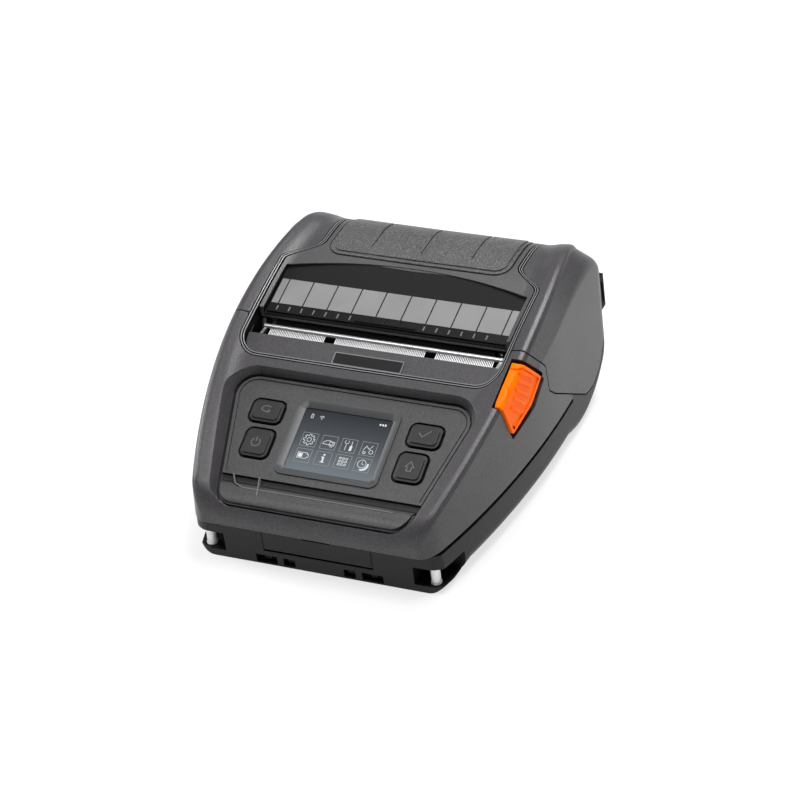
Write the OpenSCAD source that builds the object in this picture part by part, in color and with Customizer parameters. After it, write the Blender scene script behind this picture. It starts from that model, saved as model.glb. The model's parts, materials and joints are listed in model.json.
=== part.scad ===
// Portable label printer for 4 inch wide media, in millimetres.
// +X right, +Y to the back, +Z up. Origin at the middle of the base, on the ground.

/* [Body] */
// Width across the side walls
body_w = 146; // [144:0.5:149]
// Depth from the front lip to the rear wall
body_d = 176; // [175:0.5:179]
// Height of the side ridges
body_h = 80.2; // [79.4:0.2:81.4]
// Height that the ridge loses from the crown to the front lip
ridge_fall = 44.6; // [43.8:0.2:45.4]
// How far each ridge stands in from the side wall
ridge_in = 4.1; // [3.6:0.1:4.6]
// How much lower the middle of the top is than the ridges
crown_dip = 2.2; // [1.8:0.1:2.4]
// Radius of the arc that each side wall follows in plan
side_arc_r = 417; // [400:1:460]
// Radius of the arc that each ridge follows in plan, towards the front
ridge_arc_r = 270; // [262:1:290]
// Height of the bevel under each ridge
bevel_h = 13; // [11:0.5:14]
// Radius of the long bottom edges
base_edge_r = 7; // [5:0.5:8]
// Radius of the rounded front lip
lip_r = 9; // [7:0.5:10]
// Plan radius of the rear corners
rear_corner_r = 13; // [10:1:14]
// Wall thickness of the moulded shells
wall = 2.6; // [2.4:0.1:2.8]
// Height of the parting line between the upper housing and the lower case
parting_z = 21; // [20:0.5:22]
// Gap at the moulded seams
seam = 0.3; // [0.2:0.05:0.4]

/* [Roll chamber] */
// How far the crown stands over the round back of the roll chamber
crown_over = 0.2; // [0:0.1:0.6]
// Thickness between the roll chamber and the outside at the back
belly_wall = 4.5; // [4:0.5:5.5]
// Space between the chamber's width and the lid's side edges
side_in = 3; // [2.9:0.1:3.4]
// Thickness of the chamber's front trough
trough_t = 2; // [1.6:0.1:2.2]
// Thickness of the two inner side frames
frame_t = 2; // [1.6:0.1:2.2]

/* [Lid] */
// Width of each shoulder beside the mouth
shoulder_w = 13; // [12.8:0.1:13.4]
// How far the lid narrows at each S bend
bend_in = 13.5; // [13:0.5:15]
// Distance from the back of the body to the end of the S bends
bend_back = 37; // [36:0.5:38]
// Length of the S bends
bend_len = 17; // [15:0.5:19]
// Width of the seal bead round the lid and the mouth
bead_w = 1.5; // [1:0.1:1.8]
// Depth of the seal bead
bead_h = 3; // [2.5:0.1:3.5]
// Slope of the mouth's upper floor, in degrees
floor_slope = 14.8; // [14:0.1:15.5]
// Radius of the lid hinge's knuckles
knuckle_r = 4.2; // [4:0.1:4.4]
// Radius of the lid hinge pin
hinge_pin_r = 1.5; // [1.2:0.1:1.8]
// Half length of the hinge barrel on the case
barrel_half = 30; // [26:1:34]
// Length of the grip pad, from its front edge over the crown
pad_len = 34; // [28:1:36]
// Margin between the grip pad and the lid's side edges
pad_in = 3; // [2.6:0.1:6.5]
// Height that the grip pad stands above the lid
pad_h = 0.9; // [0.6:0.1:1.2]

/* [Print unit] */
// Radius of the platen roller's rubber
platen_r = 6.2; // [6:0.1:6.4]
// Space between the roller's rubber and the chamber's width
roller_in = 5; // [4.8:0.1:6]
// Radius of the platen shaft
shaft_r = 2.5; // [2.2:0.1:2.8]
// Module of the feed gears
gear_m = 0.6; // [0.58:0.01:0.6]
// Width of the feed gears
gear_w = 2.2; // [1.8:0.1:2.3]
// Radius of the exit rod
rod_r = 1.2; // [1:0.1:1.3]
// Thickness of the tear bar
tear_t = 0.8; // [0.6:0.1:1]
// Pitch of the tear bar's teeth
tooth_pitch = 1.6; // [1.4:0.1:2.4]
// Running clearance of the pins and shafts
run = 0.05; // [0.03:0.01:0.08]

/* [Control panel] */
// Slope of the control panel, in degrees
panel_slope = 22.5; // [22:0.1:23]
// Width of the display window
lcd_w = 41.2; // [38:0.2:43]
// Length of the display window along the slope
lcd_l = 30.7; // [28:0.2:32]
// Width of the upper keys
key_top_w = 14.4; // [13:0.2:15]
// Length of the upper keys
key_top_l = 10.6; // [9.6:0.2:11]
// Width of the lower keys
key_low_w = 12.6; // [11:0.2:13]
// Length of the lower keys
key_low_l = 13.6; // [12:0.2:14]
// Travel of the keys
key_travel = 0.5; // [0.3:0.1:0.6]
// Height that the keys stand above the panel
key_h = 1.2; // [0.8:0.1:1.5]

/* [Latch and openings] */
// Travel of the lid release button
latch_travel = 2.5; // [2:0.1:2.8]
// Radius of the steel strap pins
strap_pin_r = 1.6; // [1.4:0.1:2]
// Width of the port flap
flap_w = 51; // [48:0.5:53]
// Height of the port flap
flap_h = 11; // [10:0.2:11.4]
// Thickness of the port flap
flap_t = 1.8; // [1.4:0.1:2]

/* [Hidden] */
eps = 0.01;
big = 200;
charcoal = [0.25, 0.25, 0.26];
dark = [0.13, 0.13, 0.14];
steel = [0.75, 0.76, 0.78];
orange = [1, 0.36, 0.05];

// The places that the body's outline is worked out from
loop_out = 2;
belly_r = (body_h - crown_over) / 2;
chamber_r = belly_r - belly_wall;
lid_half = body_w / 2 - shoulder_w;
lid_rear_half = lid_half - bend_in;
chamber_x = lid_half - side_in;
platen_half = chamber_x - roller_in;
pad_half = lid_rear_half - pad_in;
front_y = -(body_d + loop_out) / 2;
rear_y = front_y + body_d;
belly_y = rear_y - 2 - belly_r;
belly_z = belly_r;
crown_r = 26;
crown_y = rear_y - crown_r;
apex_y = crown_y - 7;
wide_y = apex_y - 29;
ridge_wide_y = apex_y - 50;
underside_z = 3;

// The cross seam, the sloping panel and the mouth
seam_y = rear_y - 88;
panel_y = front_y + 40;
panel_z = body_h - 33.4;
floor_edge_y = seam_y - 7;
ledge_z = panel_z + 13.8;
mouth_floor_y = seam_y + 10.9;
mouth_floor_z = body_h - 11.3;

// The axes of the print unit, the latch shaft and the lid hinge
platen_y = seam_y + 10.5;
platen_z = body_h - 20.9;
platen_teeth = 22;
idler_teeth = 30;
pinion_teeth = 12;
idler_angle = 218;
pinion_angle = 225;
idler_d = gear_m * (platen_teeth + idler_teeth) / 2;
pinion_d = gear_m * (idler_teeth + pinion_teeth) / 2;
idler_y = platen_y + idler_d * cos(idler_angle);
idler_z = platen_z + idler_d * sin(idler_angle);
pinion_y = idler_y + pinion_d * cos(pinion_angle);
pinion_z = idler_z + pinion_d * sin(pinion_angle);
hook_y = seam_y + 4.5;
hook_z = platen_z - 19.3;
hinge_y = rear_y - 5.4;
hinge_z = belly_z + 2.5;
rod_y = seam_y + 2.2;
rod_z = ledge_z + 1.8;

// Height of the ridge line at a place along the body
function ridge_z(y) =
    (y < apex_y ? body_h - ridge_fall * pow((apex_y - y) / (apex_y - front_y), 1.65)
     : y < crown_y ? body_h
     : body_h - crown_r + sqrt(max(0, crown_r * crown_r - pow(y - crown_y, 2))))
    - (y < front_y + lip_r ? lip_r - sqrt(max(0, lip_r * lip_r - pow(front_y + lip_r - y, 2))) : 0);

// How far the plan outline is drawn in at the rear corners and at the front lip
function corner_in(y) = y < rear_y - rear_corner_r ? 0
    : rear_corner_r - sqrt(max(0, pow(rear_corner_r, 2) - pow(y - rear_y + rear_corner_r, 2)));
function front_in(y) = y > front_y + lip_r ? 0
    : 0.5 * (lip_r - sqrt(max(0, lip_r * lip_r - pow(front_y + lip_r - y, 2))));

// Half width of the side wall and of the ridge
function wall_x(y) = body_w / 2 - (y < wide_y ? pow(wide_y - y, 2) / (2 * side_arc_r) : 0)
    - corner_in(y) - front_in(y);
function ridge_x(y) = body_w / 2 - ridge_in
    - pow(ridge_wide_y - y, 2) / (2 * (y < ridge_wide_y ? ridge_arc_r : side_arc_r))
    - corner_in(y) - front_in(y);

// Height of the underside
function round_z(y) = belly_r - sqrt(max(0, belly_r * belly_r - pow(y - belly_y, 2)));
function base_z(y) = y < front_y + 14 ? 0 : y < front_y + 26 ? underside_z * (y - front_y - 14) / 12
    : y < belly_y ? min(underside_z, round_z(y)) : round_z(y);

// Right half of one cross section, from the middle of the underside to the middle of the top
function half_section(y) = let (
        zt = ridge_z(y), zb = base_z(y), h = zt - zb,
        r = min(base_edge_r, 0.3 * h), wx = wall_x(y), rx = ridge_x(y),
        lean = y < wide_y ? 2.2 * (wide_y - y) / (wide_y - front_y) : 0,
        shrink = y > wide_y ? 1 - 0.45 * min(1, (y - wide_y) / 45) : 1,
        bevel = min(bevel_h * shrink, 0.35 * h))
    [[0, zb],
     for (a = [-90, -60, -30, 0]) [wx - 0.5 - r + r * cos(a), zb + r + r * sin(a)],
     [wx - lean, zt - bevel],
     [rx + 1.3 * shrink, zt - 1.9], [rx, zt - 0.5], [rx - 1.8, zt],
     [rx - 6, zt - 0.25 * crown_dip], [rx - 11, zt - 0.9 * crown_dip],
     [0, zt - crown_dip]];
function section(y) = let (h = half_section(y), n = len(h))
    [for (p = h) [p[0], y, p[1]], for (i = [n - 2:-1:1]) [-h[i][0], y, h[i][1]]];

stations = [
    for (a = [0:22.5:67.5]) front_y + lip_r * (1 - cos(a)),
    front_y + 14, front_y + 20, front_y + 26,
    for (y = [front_y + 35:9:rear_y - rear_corner_r - 5]) y,
    for (a = [0:11.25:90]) rear_y - rear_corner_r + rear_corner_r * sin(a) * 0.999];

// The whole outer form, lofted through the cross sections
module body_form() {
    loops = [for (y = stations) section(y)];
    m = len(loops[0]);
    n = len(loops);
    points = [for (l = loops) each l];
    faces = [
        [for (i = [m - 1:-1:0]) i],
        [for (i = [0:m - 1]) (n - 1) * m + i],
        for (k = [0:n - 2]) for (i = [0:m - 1]) let (j = (i + 1) % m)
            each [[k * m + i, (k + 1) * m + j, (k + 1) * m + i], [k * m + i, k * m + j, (k + 1) * m + j]]];
    polyhedron(points, faces, convexity = 6);
}

// A shape drawn as [y, z] and drawn out across the body from x0 to x1
module across(x0, x1) {
    translate([x0, 0, 0]) rotate([90, 0, 90]) linear_extrude(x1 - x0) children();
}
// The same on both sides of the body
module both_sides(x0, x1) {
    across(x0, x1) children();
    across(-x1, -x0) children();
}
// A shaft or a bore along X
module along_x(y, z, r, x0, x1) {
    translate([x0, y, z]) rotate([0, 90, 0]) cylinder(r = r, h = x1 - x0, $fn = r > 20 ? 180 : 48);
}
// Local frame of the control panel: x across, y up the slope, z out of it
module on_panel() {
    translate([0, panel_y, panel_z]) rotate([panel_slope, 0, 0]) children();
}
module rounded_rect(w, l, r) {
    polygon([for (c = [[1, 1, 0], [-1, 1, 90], [-1, -1, 180], [1, -1, 270]]) for (a = [0:22.5:90])
        [c[0] * (w / 2 - r) + r * cos(c[2] + a), c[1] * (l / 2 - r) + r * sin(c[2] + a)]]);
}
// Rounds each corner of a polygon by its own radius: corners are [x, y, r]
function fillet(p) = let (n = len(p)) [for (i = [0:n - 1]) let (
        c = [p[i][0], p[i][1]], a = [p[(i + n - 1) % n][0], p[(i + n - 1) % n][1]],
        b = [p[(i + 1) % n][0], p[(i + 1) % n][1]],
        u = (a - c) / norm(a - c), v = (b - c) / norm(b - c),
        half = acos(max(-1, min(1, u * v))) / 2, r = p[i][2])
    each r == 0 ? [c] : let (
        t = r / tan(half), m = (u + v) / norm(u + v), o = c + m * r / sin(half),
        s = c + u * t - o, e = c + v * t - o, a0 = atan2(s[1], s[0]), a1 = atan2(e[1], e[0]),
        d = a1 - a0, turn = d > 180 ? d - 360 : d < -180 ? d + 360 : d)
        [for (k = [0:4]) o + r * [cos(a0 + turn * k / 4), sin(a0 + turn * k / 4)]]];

// Side view of the seam between the shoulder covers and the rest
cover_edge = fillet([[seam_y, body_h + 20, 0], [seam_y, body_h - 10.5, 2], [seam_y + 11, body_h - 24, 4],
    [seam_y + 12.5, body_h - 38, 4], [seam_y + 18, parting_z + 16, 2], [rear_y - 37, 13.5, 8],
    [rear_y - 28, 12, 5], [rear_y - 18, 16, 8], [rear_y - 8, 30, 6], [rear_y - 7, belly_z, 0],
    [rear_y + 10, belly_z, 0], [rear_y + 10, body_h + 20, 0]]);
module cover_profile(grow = 0) {
    if (grow == 0) polygon(cover_edge);
    else offset(delta = grow) polygon(cover_edge);
}
// Side view of the lower case: under the parting line, and behind the covers' lower edge
module case_profile(lower = 0) {
    difference() {
        union() {
            translate([front_y - 10, -5]) square([body_d / 2 + 60, parting_z + 5]);
            translate([belly_y - 10, -5]) square([belly_r + 30, belly_z - lower + 5]);
        }
        cover_profile(lower);
    }
}
// Half width of the lid at a place along the body
bend_end_y = rear_y - bend_back;
bend_y = bend_end_y - bend_len;
function lid_edge(grow) = [
    for (k = [0:8]) [lid_rear_half + grow + (lid_half - lid_rear_half) * (1 + cos(180 * k / 8)) / 2,
                     bend_y + bend_len * k / 8]];
module lid_plan(grow = 0, y0 = seam_y + 5) {
    e = lid_edge(grow);
    polygon([[lid_half + grow, y0], each e, [lid_rear_half + grow, rear_y + 10],
        [-lid_rear_half - grow, rear_y + 10], for (i = [len(e) - 1:-1:0]) [-e[i][0], e[i][1]],
        [-lid_half - grow, y0]]);
}
// Plan of the mouth's sunken front, with its two rounded corners
mouth_r = 9;
mouth_front_y = seam_y - 18;
module mouth_plan(grow = 0) {
    polygon(fillet([[lid_half + grow, seam_y + 20, 0], [lid_half + grow, mouth_front_y - grow, mouth_r + grow],
        [-lid_half - grow, mouth_front_y - grow, mouth_r + grow], [-lid_half - grow, seam_y + 20, 0]]));
}
// Plan of the lid and the mouth together, as one outline
module ring_plan(grow) {
    e = lid_edge(grow);
    h = lid_half + grow;
    front = fillet([[-h, seam_y + 20, 0], [-h, mouth_front_y - grow, mouth_r + grow],
        [h, mouth_front_y - grow, mouth_r + grow], [h, seam_y + 20, 0]]);
    polygon([each e, [lid_rear_half + grow, rear_y + 10], [-lid_rear_half - grow, rear_y + 10],
        for (i = [len(e) - 1:-1:0]) [-e[i][0], e[i][1]], each front]);
}
// Everything above the mouth's upper floor
module above_floor(drop = 0) {
    across(-big / 2, big / 2) translate([mouth_floor_y, mouth_floor_z - drop]) rotate(floor_slope)
        translate([-60, 0]) square([200, 60]);
}
// Plan of the bowed lip over the mouth
lip_y = mouth_floor_y + 25.3;
lip_bow_r = 385;
module mouth_opening_plan(grow = 0) {
    intersection() {
        translate([-lid_half + 2 - grow, seam_y - 10]) square([2 * (lid_half - 2 + grow), lip_y + 20 - seam_y]);
        translate([0, lip_y + grow - lip_bow_r]) circle(r = lip_bow_r, $fn = 360);
    }
}
// Plan of the black tray that lines the mouth, and the hollow it sits in
module tray_plan(grow) {
    intersection() {
        translate([-lid_half + 2, seam_y - 10]) square([2 * lid_half - 4, lip_y + 20 - seam_y]);
        translate([0, lip_y + grow - lip_bow_r]) circle(r = lip_bow_r, $fn = 360);
    }
}
tray_t = 0.8;
// Keeps the swing of the lid's wings clear round the hinge
swing_r = norm([bend_end_y - hinge_y, body_h - crown_dip - hinge_z]) + 0.3;
// Inner outline of the front bay in plan
module bay_plan(inset) {
    ys = [for (y = [front_y + lip_r + 1:12:seam_y + 12]) y];
    polygon([for (y = ys) [ridge_x(y) - inset, y], for (i = [len(ys) - 1:-1:0]) [-ridge_x(ys[i]) + inset, ys[i]]]);
}
// Side view under the covers: the side frames fill it and the covers clear it
module frame_profile(grow = 0) {
    ys = [for (y = [seam_y + 14:10:crown_y]) y];
    polygon([[seam_y - 3 - grow, parting_z], [seam_y - 3 - grow, platen_z - 6], [seam_y + 2 - grow, platen_z + 6],
        for (y = ys) [y, ridge_z(y) - bead_h - 2.4 + grow],
        [crown_y + 12 + grow, body_h - 9 + grow], [rear_y - 8 + grow, body_h - 20 + grow],
        [rear_y - 6 + grow, belly_z + 8], [rear_y - 6 + grow, belly_z - 30], [belly_y, parting_z - 12]]);
}
// Outlines of the control panel, in its own frame
panel_top_u = 24;
panel_low_u = -40;
function panel_half(u) = lid_half - 3 - 13.5 * (panel_top_u - u) / (panel_top_u - panel_low_u);
module panel_outline(inset = 0) {
    offset(delta = -inset) polygon(fillet([[panel_half(panel_top_u), panel_top_u, 9],
        [-panel_half(panel_top_u), panel_top_u, 9], [-panel_half(panel_low_u), panel_low_u, 8],
        [panel_half(panel_low_u), panel_low_u, 8]]));
}
// Places of the four keys: side, centre x, centre u, width, length
lcd_u = -2.6;
bezel_w = 3.6;
bezel_half = lcd_w / 2 + bezel_w;
function key_x(u, share) = bezel_half + share * (panel_half(u) - bezel_half);
key_top = [key_x(7.2, 0.448), 7.2, key_top_w, key_top_l];
key_low = [key_x(-8.8, 0.456), -8.8, key_low_w, key_low_l];
key_r = 2.6;
panel_t = 2.2;
rim_slope = 4.4;
window_drop = 1.1;
module key_plan(k, side, grow) {
    translate([side * k[0], k[1]]) rounded_rect(k[2] + 2 * grow, k[3] + 2 * grow, key_r + grow);
}

// Side view of the release button and of its pocket
latch_corners = [[seam_y - 29.5, body_h - 18.6, 1], [seam_y - 13, body_h - 9.5, 2], [seam_y - 6, body_h - 9.8, 2],
    [seam_y + 7.5, body_h - 25.5, 1], [seam_y - 3.5, body_h - 33, 1], [seam_y - 24, body_h - 36, 1]];
module latch_profile(grow = 0) {
    offset(delta = grow) polygon(fillet(latch_corners));
}

// Guide stem of the release button
stem_y = seam_y - 11;
stem_z = ledge_z - 1.2;
stem_r = 1.2;

// Axis of the port flap, and the pockets of the strap pins
case_front_y = front_y + 5;
flap_z = 7.6;
flap_axis_y = case_front_y + 1;
flap_axis_z = flap_z + 1.1;
strap_x = lid_half - 7;
strap_y = front_y + 9;
pocket_z0 = 3.6;
pocket_z1 = 12.8;
board_z = 19;
board_t = 1.6;
battery_half = lid_half - 21;
battery_y0 = front_y + 25;
battery_y1 = seam_y - 10;
battery_top = 17.6;

module case_plan() {
    polygon(fillet([[90, front_y + 36, 0], [wall_x(front_y + 36) + 0.6, front_y + 36, 0], [body_w / 2 - 14.4, case_front_y, 9],
        [14.4 - body_w / 2, case_front_y, 9], [-wall_x(front_y + 36) - 0.6, front_y + 36, 0], [-90, front_y + 36, 0],
        [-90, rear_y + 10, 0], [90, rear_y + 10, 0]]));
}
module block(x0, x1, y0, y1, z0, z1) {
    translate([x0, y0, z0]) cube([x1 - x0, y1 - y0, z1 - z0]);
}
module block_pair(x0, x1, y0, y1, z0, z1) {
    block(x0, x1, y0, y1, z0, z1);
    block(-x1, -x0, y0, y1, z0, z1);
}
screw_x = lid_half - 14;
screw_places = [for (x = [-screw_x, screw_x]) for (y = [front_y + 34, seam_y - 3]) [x, y]];

module lower_case() color(charcoal) difference() {
    union() {
        intersection() {
            body_form();
            across(-big / 2, big / 2) case_profile(seam / 2);
            translate([0, 0, -5]) linear_extrude(belly_z + 20) case_plan();
        }
        along_x(hinge_y, hinge_z, knuckle_r, -barrel_half, barrel_half);
        block(-barrel_half, barrel_half, hinge_y - 1.5, hinge_y + 3, belly_z - 3, hinge_z);
    }
    along_x(belly_y, belly_z, chamber_r, -chamber_x, chamber_x);
    block(-big, big, belly_y - 5, hinge_y - 1.5, belly_z - seam / 2, big);
    block(-lid_half + 5, lid_half - 5, front_y + 26, seam_y - 1, board_z, parting_z + 1);
    difference() {
        block(-lid_half + 9, lid_half - 9, front_y + 26, seam_y - 1, underside_z + wall, parting_z);
        for (p = screw_places) translate([p[0], p[1], 0]) cylinder(r = 3.2, h = board_z, $fn = 32);
    }
    block(-40, 40, case_front_y + wall + flap_t, front_y + 27, underside_z + wall, parting_z + 1);
    block(-battery_half - seam, battery_half + seam, battery_y0, battery_y1, -1, parting_z);
    block(-flap_w / 2 - seam, flap_w / 2 + seam, case_front_y - 5, case_front_y + flap_t + seam,
        flap_z - seam, flap_z + flap_h + seam);
    block(-5, 5, case_front_y - 5, case_front_y + flap_t + seam, flap_z + flap_h, flap_z + flap_h + 1.4);
    block(-20, 20, case_front_y, front_y + 26, flap_z + 2, flap_z + flap_h - 1);
    along_x(flap_axis_y, flap_axis_z, 0.8 + run, -flap_w / 2 - 2, flap_w / 2 + 2);
    block_pair(strap_x - 8.5, big / 2, front_y - 5, front_y + 21, pocket_z0, pocket_z1);
    block_pair(20, 30, case_front_y - 5, case_front_y + 3, 0.8, 4.8);
    block_pair(11.5, 17, case_front_y - 5, case_front_y + 3, 0.8, 4.8);
    both_sides(barrel_half, lid_rear_half + seam) translate([hinge_y, hinge_z]) circle(r = knuckle_r + 0.4, $fn = 48);
    along_x(hinge_y, hinge_z, hinge_pin_r, -barrel_half - 1, barrel_half + 1);
    for (p = screw_places) translate([p[0], p[1], -1]) {
        cylinder(r = 2.8, h = underside_z + 2.4, $fn = 32);
        cylinder(r = 1.25, h = underside_z + 10, $fn = 32);
    }
}

module upper_housing() color(charcoal) difference() {
    intersection() {
        body_form();
        across(-big / 2, big / 2) difference() {
            translate([front_y - 10, parting_z]) square([belly_y - seam - front_y, 100]);
            cover_profile(seam / 2);
        }
    }
    // Space between the side frames, and the clearance round them
    across(-chamber_x - 5.7, chamber_x + 5.7) {
        translate([seam_y - 1.6, 0]) square([80, 120]);
        polygon([[seam_y - 29, 0], [seam_y - 29, ledge_z - 12], [seam_y - 20, ledge_z - 7.6],
            [seam_y - 7, ledge_z - 3], [seam_y, ledge_z - 3], [seam_y, 0]]);
    }
    both_sides(lid_half + 0.1, lid_half + 0.7 + frame_t) frame_profile(seam);
    across(gear_x - gear_w - 0.5, gear_x + 0.9) translate([idler_y, idler_z])
        circle(r = gear_m * (idler_teeth / 2 + 0.75) + 0.35, $fn = 96);
    along_x(stem_y, stem_z, stem_r + run, lid_half - 10, lid_half + 10);
    // Sunken front of the mouth, the ledge of the tear bar and the groove of the bead
    intersection() {
        linear_extrude(120) mouth_plan(seam);
        on_panel() translate([-90, -20, 1.1]) cube([180, 120, 60]);
    }
    block(-lid_half - seam, lid_half + seam, floor_edge_y, seam_y + 30, ledge_z, big);
    difference() {
        intersection() {
            linear_extrude(120) mouth_plan(seam + bead_w);
            on_panel() translate([-90, -20, -0.9]) cube([180, 120, 60]);
        }
        linear_extrude(120) mouth_plan(seam);
    }
    // Pocket of the control panel and its opening
    on_panel() {
        translate([0, 0, -panel_t]) linear_extrude(panel_t + 0.8) panel_outline(-0.1);
        hull() {
            translate([0, 0, 0.7]) linear_extrude(0.1) panel_outline(-0.1);
            translate([0, 0, 8]) linear_extrude(0.1) panel_outline(-rim_slope);
        }
        translate([0, 0, -14]) linear_extrude(30) panel_outline(3.2);
    }
    // Front bay
    intersection() {
        translate([0, 0, parting_z - 5]) linear_extrude(60) bay_plan(4.2);
        on_panel() translate([-90, -80, -45]) cube([180, 108, 40]);
    }
    // Pocket of the release button
    across(lid_half + 2.6, body_w) latch_profile(0.4);
    across(lid_half + 2.6, body_w) translate([1, -3.2]) latch_profile(0.2);
}

module shoulder_cover(side) color(charcoal) difference() {
    intersection() {
        body_form();
        across(min(0, side * big), max(0, side * big)) cover_profile(-seam / 2);
    }
    linear_extrude(120) lid_plan(seam + bead_w);
    linear_extrude(120) mouth_plan(seam + bead_w);
    across(-lid_half - 8.4, lid_half + 8.4) frame_profile();
    if (side > 0) across(lid_half, body_w) latch_profile(0.6);
}
module left_shoulder_cover() shoulder_cover(-1);
module right_shoulder_cover() shoulder_cover(1);

module seal_bead() color([0.4, 0.4, 0.42]) difference() {
    intersection() {
        body_form();
        linear_extrude(body_h + 20) difference() {
            ring_plan(seam + bead_w - 0.02);
            ring_plan(seam);
        }
        union() {
            on_panel() translate([-90, 0, -0.9]) cube([180, 64, 60]);
            block(-90, 90, seam_y - 1, rear_y + 9, belly_z + seam, big);
        }
    }
    across(-90, 90) frame_profile();
}

module control_panel() color([0.3, 0.3, 0.31]) difference() {
    on_panel() {
        difference() {
            translate([0, 0, -panel_t]) linear_extrude(panel_t) panel_outline();
            translate([-lid_half, -30.6, -1]) cube([2 * lid_half, 5.2, 3]);
        }
        for (x = [-bezel_half - 2.4, bezel_half + 2.4]) for (u = [-12, 10]) translate([x, u, -5.5]) cylinder(r = 1.5, h = 4, $fn = 24);
        intersection() {
            translate([-lid_half, -35.6, -8]) rotate([90, 0, 90]) cylinder(r = 10, h = 2 * lid_half, $fn = 96);
            translate([0, 0, -panel_t]) linear_extrude(10) panel_outline(0.8);
        }
    }
    on_panel() {
        translate([0, lcd_u, -9]) linear_extrude(30) rounded_rect(lcd_w + 2 * bezel_w, lcd_l + 2 * bezel_w, 4);
        for (s = [-1, 1]) translate([0, 0, -9]) linear_extrude(30) {
            key_plan(key_top, s, 0.4);
            key_plan(key_low, s, 0.4);
        }
        difference() {
            translate([-lid_half, -80, -20]) cube([2 * lid_half, 140, 20 - panel_t]);
            for (x = [-bezel_half - 2.4, bezel_half + 2.4]) for (u = [-12, 10]) translate([x, u, -5.5]) cylinder(r = 1.5, h = 9, $fn = 24);
        }
    }
}
module lcd_bezel() color(dark) on_panel() translate([0, lcd_u, -panel_t]) difference() {
    linear_extrude(panel_t + 0.5) rounded_rect(lcd_w + 2 * bezel_w, lcd_l + 2 * bezel_w, 4);
    translate([0, 0, -1]) linear_extrude(6) rounded_rect(lcd_w, lcd_l, 1.2);
    translate([0, 0, -1]) linear_extrude(panel_t - window_drop + 1) rounded_rect(lcd_w + 2, lcd_l + 2, 1.6);
    hull() {
        translate([0, 0, panel_t - window_drop + 0.4]) linear_extrude(0.1) rounded_rect(lcd_w, lcd_l, 1.2);
        translate([0, 0, panel_t + 0.5]) linear_extrude(0.1)
            rounded_rect(lcd_w + 2 * bezel_w - 2.4, lcd_l + 2 * bezel_w - 2.4, 3);
    }
}
module lcd_window() color([0.55, 0.6, 0.66]) on_panel() translate([0, lcd_u, -window_drop - 0.9])
    linear_extrude(0.9) rounded_rect(lcd_w + 1.8, lcd_l + 1.8, 1.5);
module lcd_module() color(steel) on_panel() translate([-lcd_w / 2 + 0.3, lcd_u - lcd_l / 2 + 0.3, -5.5])
    cube([lcd_w - 0.6, lcd_l - 0.6, 4.6 - window_drop]);
module keypad_board() color([0.1, 0.35, 0.2]) on_panel() {
    translate([-key_top[0] - 8.7, -18, -7.1]) cube([2 * key_top[0] + 17.4, 34, 1.6]);
    for (s = [-1, 1]) for (k = [key_top, key_low])
        translate([s * k[0], k[1], -5.5]) cylinder(r = 2.6, h = 1.3, $fn = 32);
}
module key(k, side) color(dark) on_panel() {
    translate([0, 0, -panel_t - 0.95]) linear_extrude(0.9) key_plan(k, side, 0.9);
    translate([0, 0, -4.1 + key_travel]) linear_extrude(4.1 - key_travel) key_plan(k, side, 0);
    hull() {
        linear_extrude(eps) key_plan(k, side, 0);
        translate([0, 0, key_h]) linear_extrude(eps) key_plan(k, side, -1);
    }
}
module key_feed() key(key_top, -1);
module key_power() key(key_low, -1);
module key_enter() key(key_top, 1);
module key_home() key(key_low, 1);
module name_plate() color(dark) on_panel() translate([0, 37.8, 1.1]) linear_extrude(0.5) rounded_rect(33, 6.4, 0.8);

module tear_bar() color(steel) difference() {
    y0 = floor_edge_y + 0.1;
    y1 = rod_y - 3.4;
    half = lid_half - 6;
    union() {
        block(-half, half, y0, y1, ledge_z, ledge_z + tear_t);
        teeth = floor(2 * half / tooth_pitch);
        translate([0, y1, ledge_z]) linear_extrude(tear_t) polygon([[-teeth * tooth_pitch / 2, -eps],
            for (k = [0:teeth - 1]) each [
                [(k + 0.06 - teeth / 2) * tooth_pitch, 0], [(k + 0.5 - teeth / 2) * tooth_pitch, 0.9],
                [(k + 0.94 - teeth / 2) * tooth_pitch, 0]], [teeth * tooth_pitch / 2, -eps]]);
    }
    for (s = [-1, 1]) translate([s * 24, y1 + 0.6, ledge_z - 1]) cylinder(r = 2.2, h = 4, $fn = 32);
}
rod_half = chamber_x;
module exit_rod() color(steel) {
    along_x(rod_y, rod_z, rod_r, -rod_half, rod_half);
    both_sides(rod_half - 1.4, rod_half) translate([rod_y - 7, ledge_z]) square([7.6, rod_z - ledge_z]);
}

module side_frame(x0) color([0.2, 0.2, 0.21]) difference() {
    across(x0, x0 + frame_t) difference() {
        union() {
            frame_profile();
            polygon([[seam_y - 27, parting_z], [seam_y - 27, panel_z - 4], [seam_y - 12, panel_z + 3],
                [seam_y - 2, platen_z - 8], [seam_y + 10, parting_z]]);
        }
        case_profile(seam / 2);
        translate([belly_y, belly_z]) circle(r = 14, $fn = 64);
    }
    along_x(hook_y, hook_z, 2 + run, -big, big);
}
module left_side_frame() {
    side_frame(-lid_half - 0.4 - frame_t);
    color(steel) along_x(idler_y, idler_z, 1.5, -lid_half - 1, gear_x + 0.8);
}
module right_side_frame() side_frame(lid_half + 0.4);

trough_top = 166;
module chamber_trough() color([0.17, 0.17, 0.18]) across(-lid_half - 0.4, lid_half + 0.4) difference() {
    translate([belly_y, belly_z]) circle(r = chamber_r + trough_t, $fn = 180);
    translate([belly_y, belly_z]) circle(r = chamber_r, $fn = 180);
    translate([0, -10]) square([150, parting_z + 10]);
    translate([-10, parting_z - 100]) square([150, 100]);
    translate([belly_y, belly_z]) polygon([[0, 0], 90 * [cos(trough_top), sin(trough_top)], [-90, 90], [90, 90],
        [90, -90], [0, -90]]);
}

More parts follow.
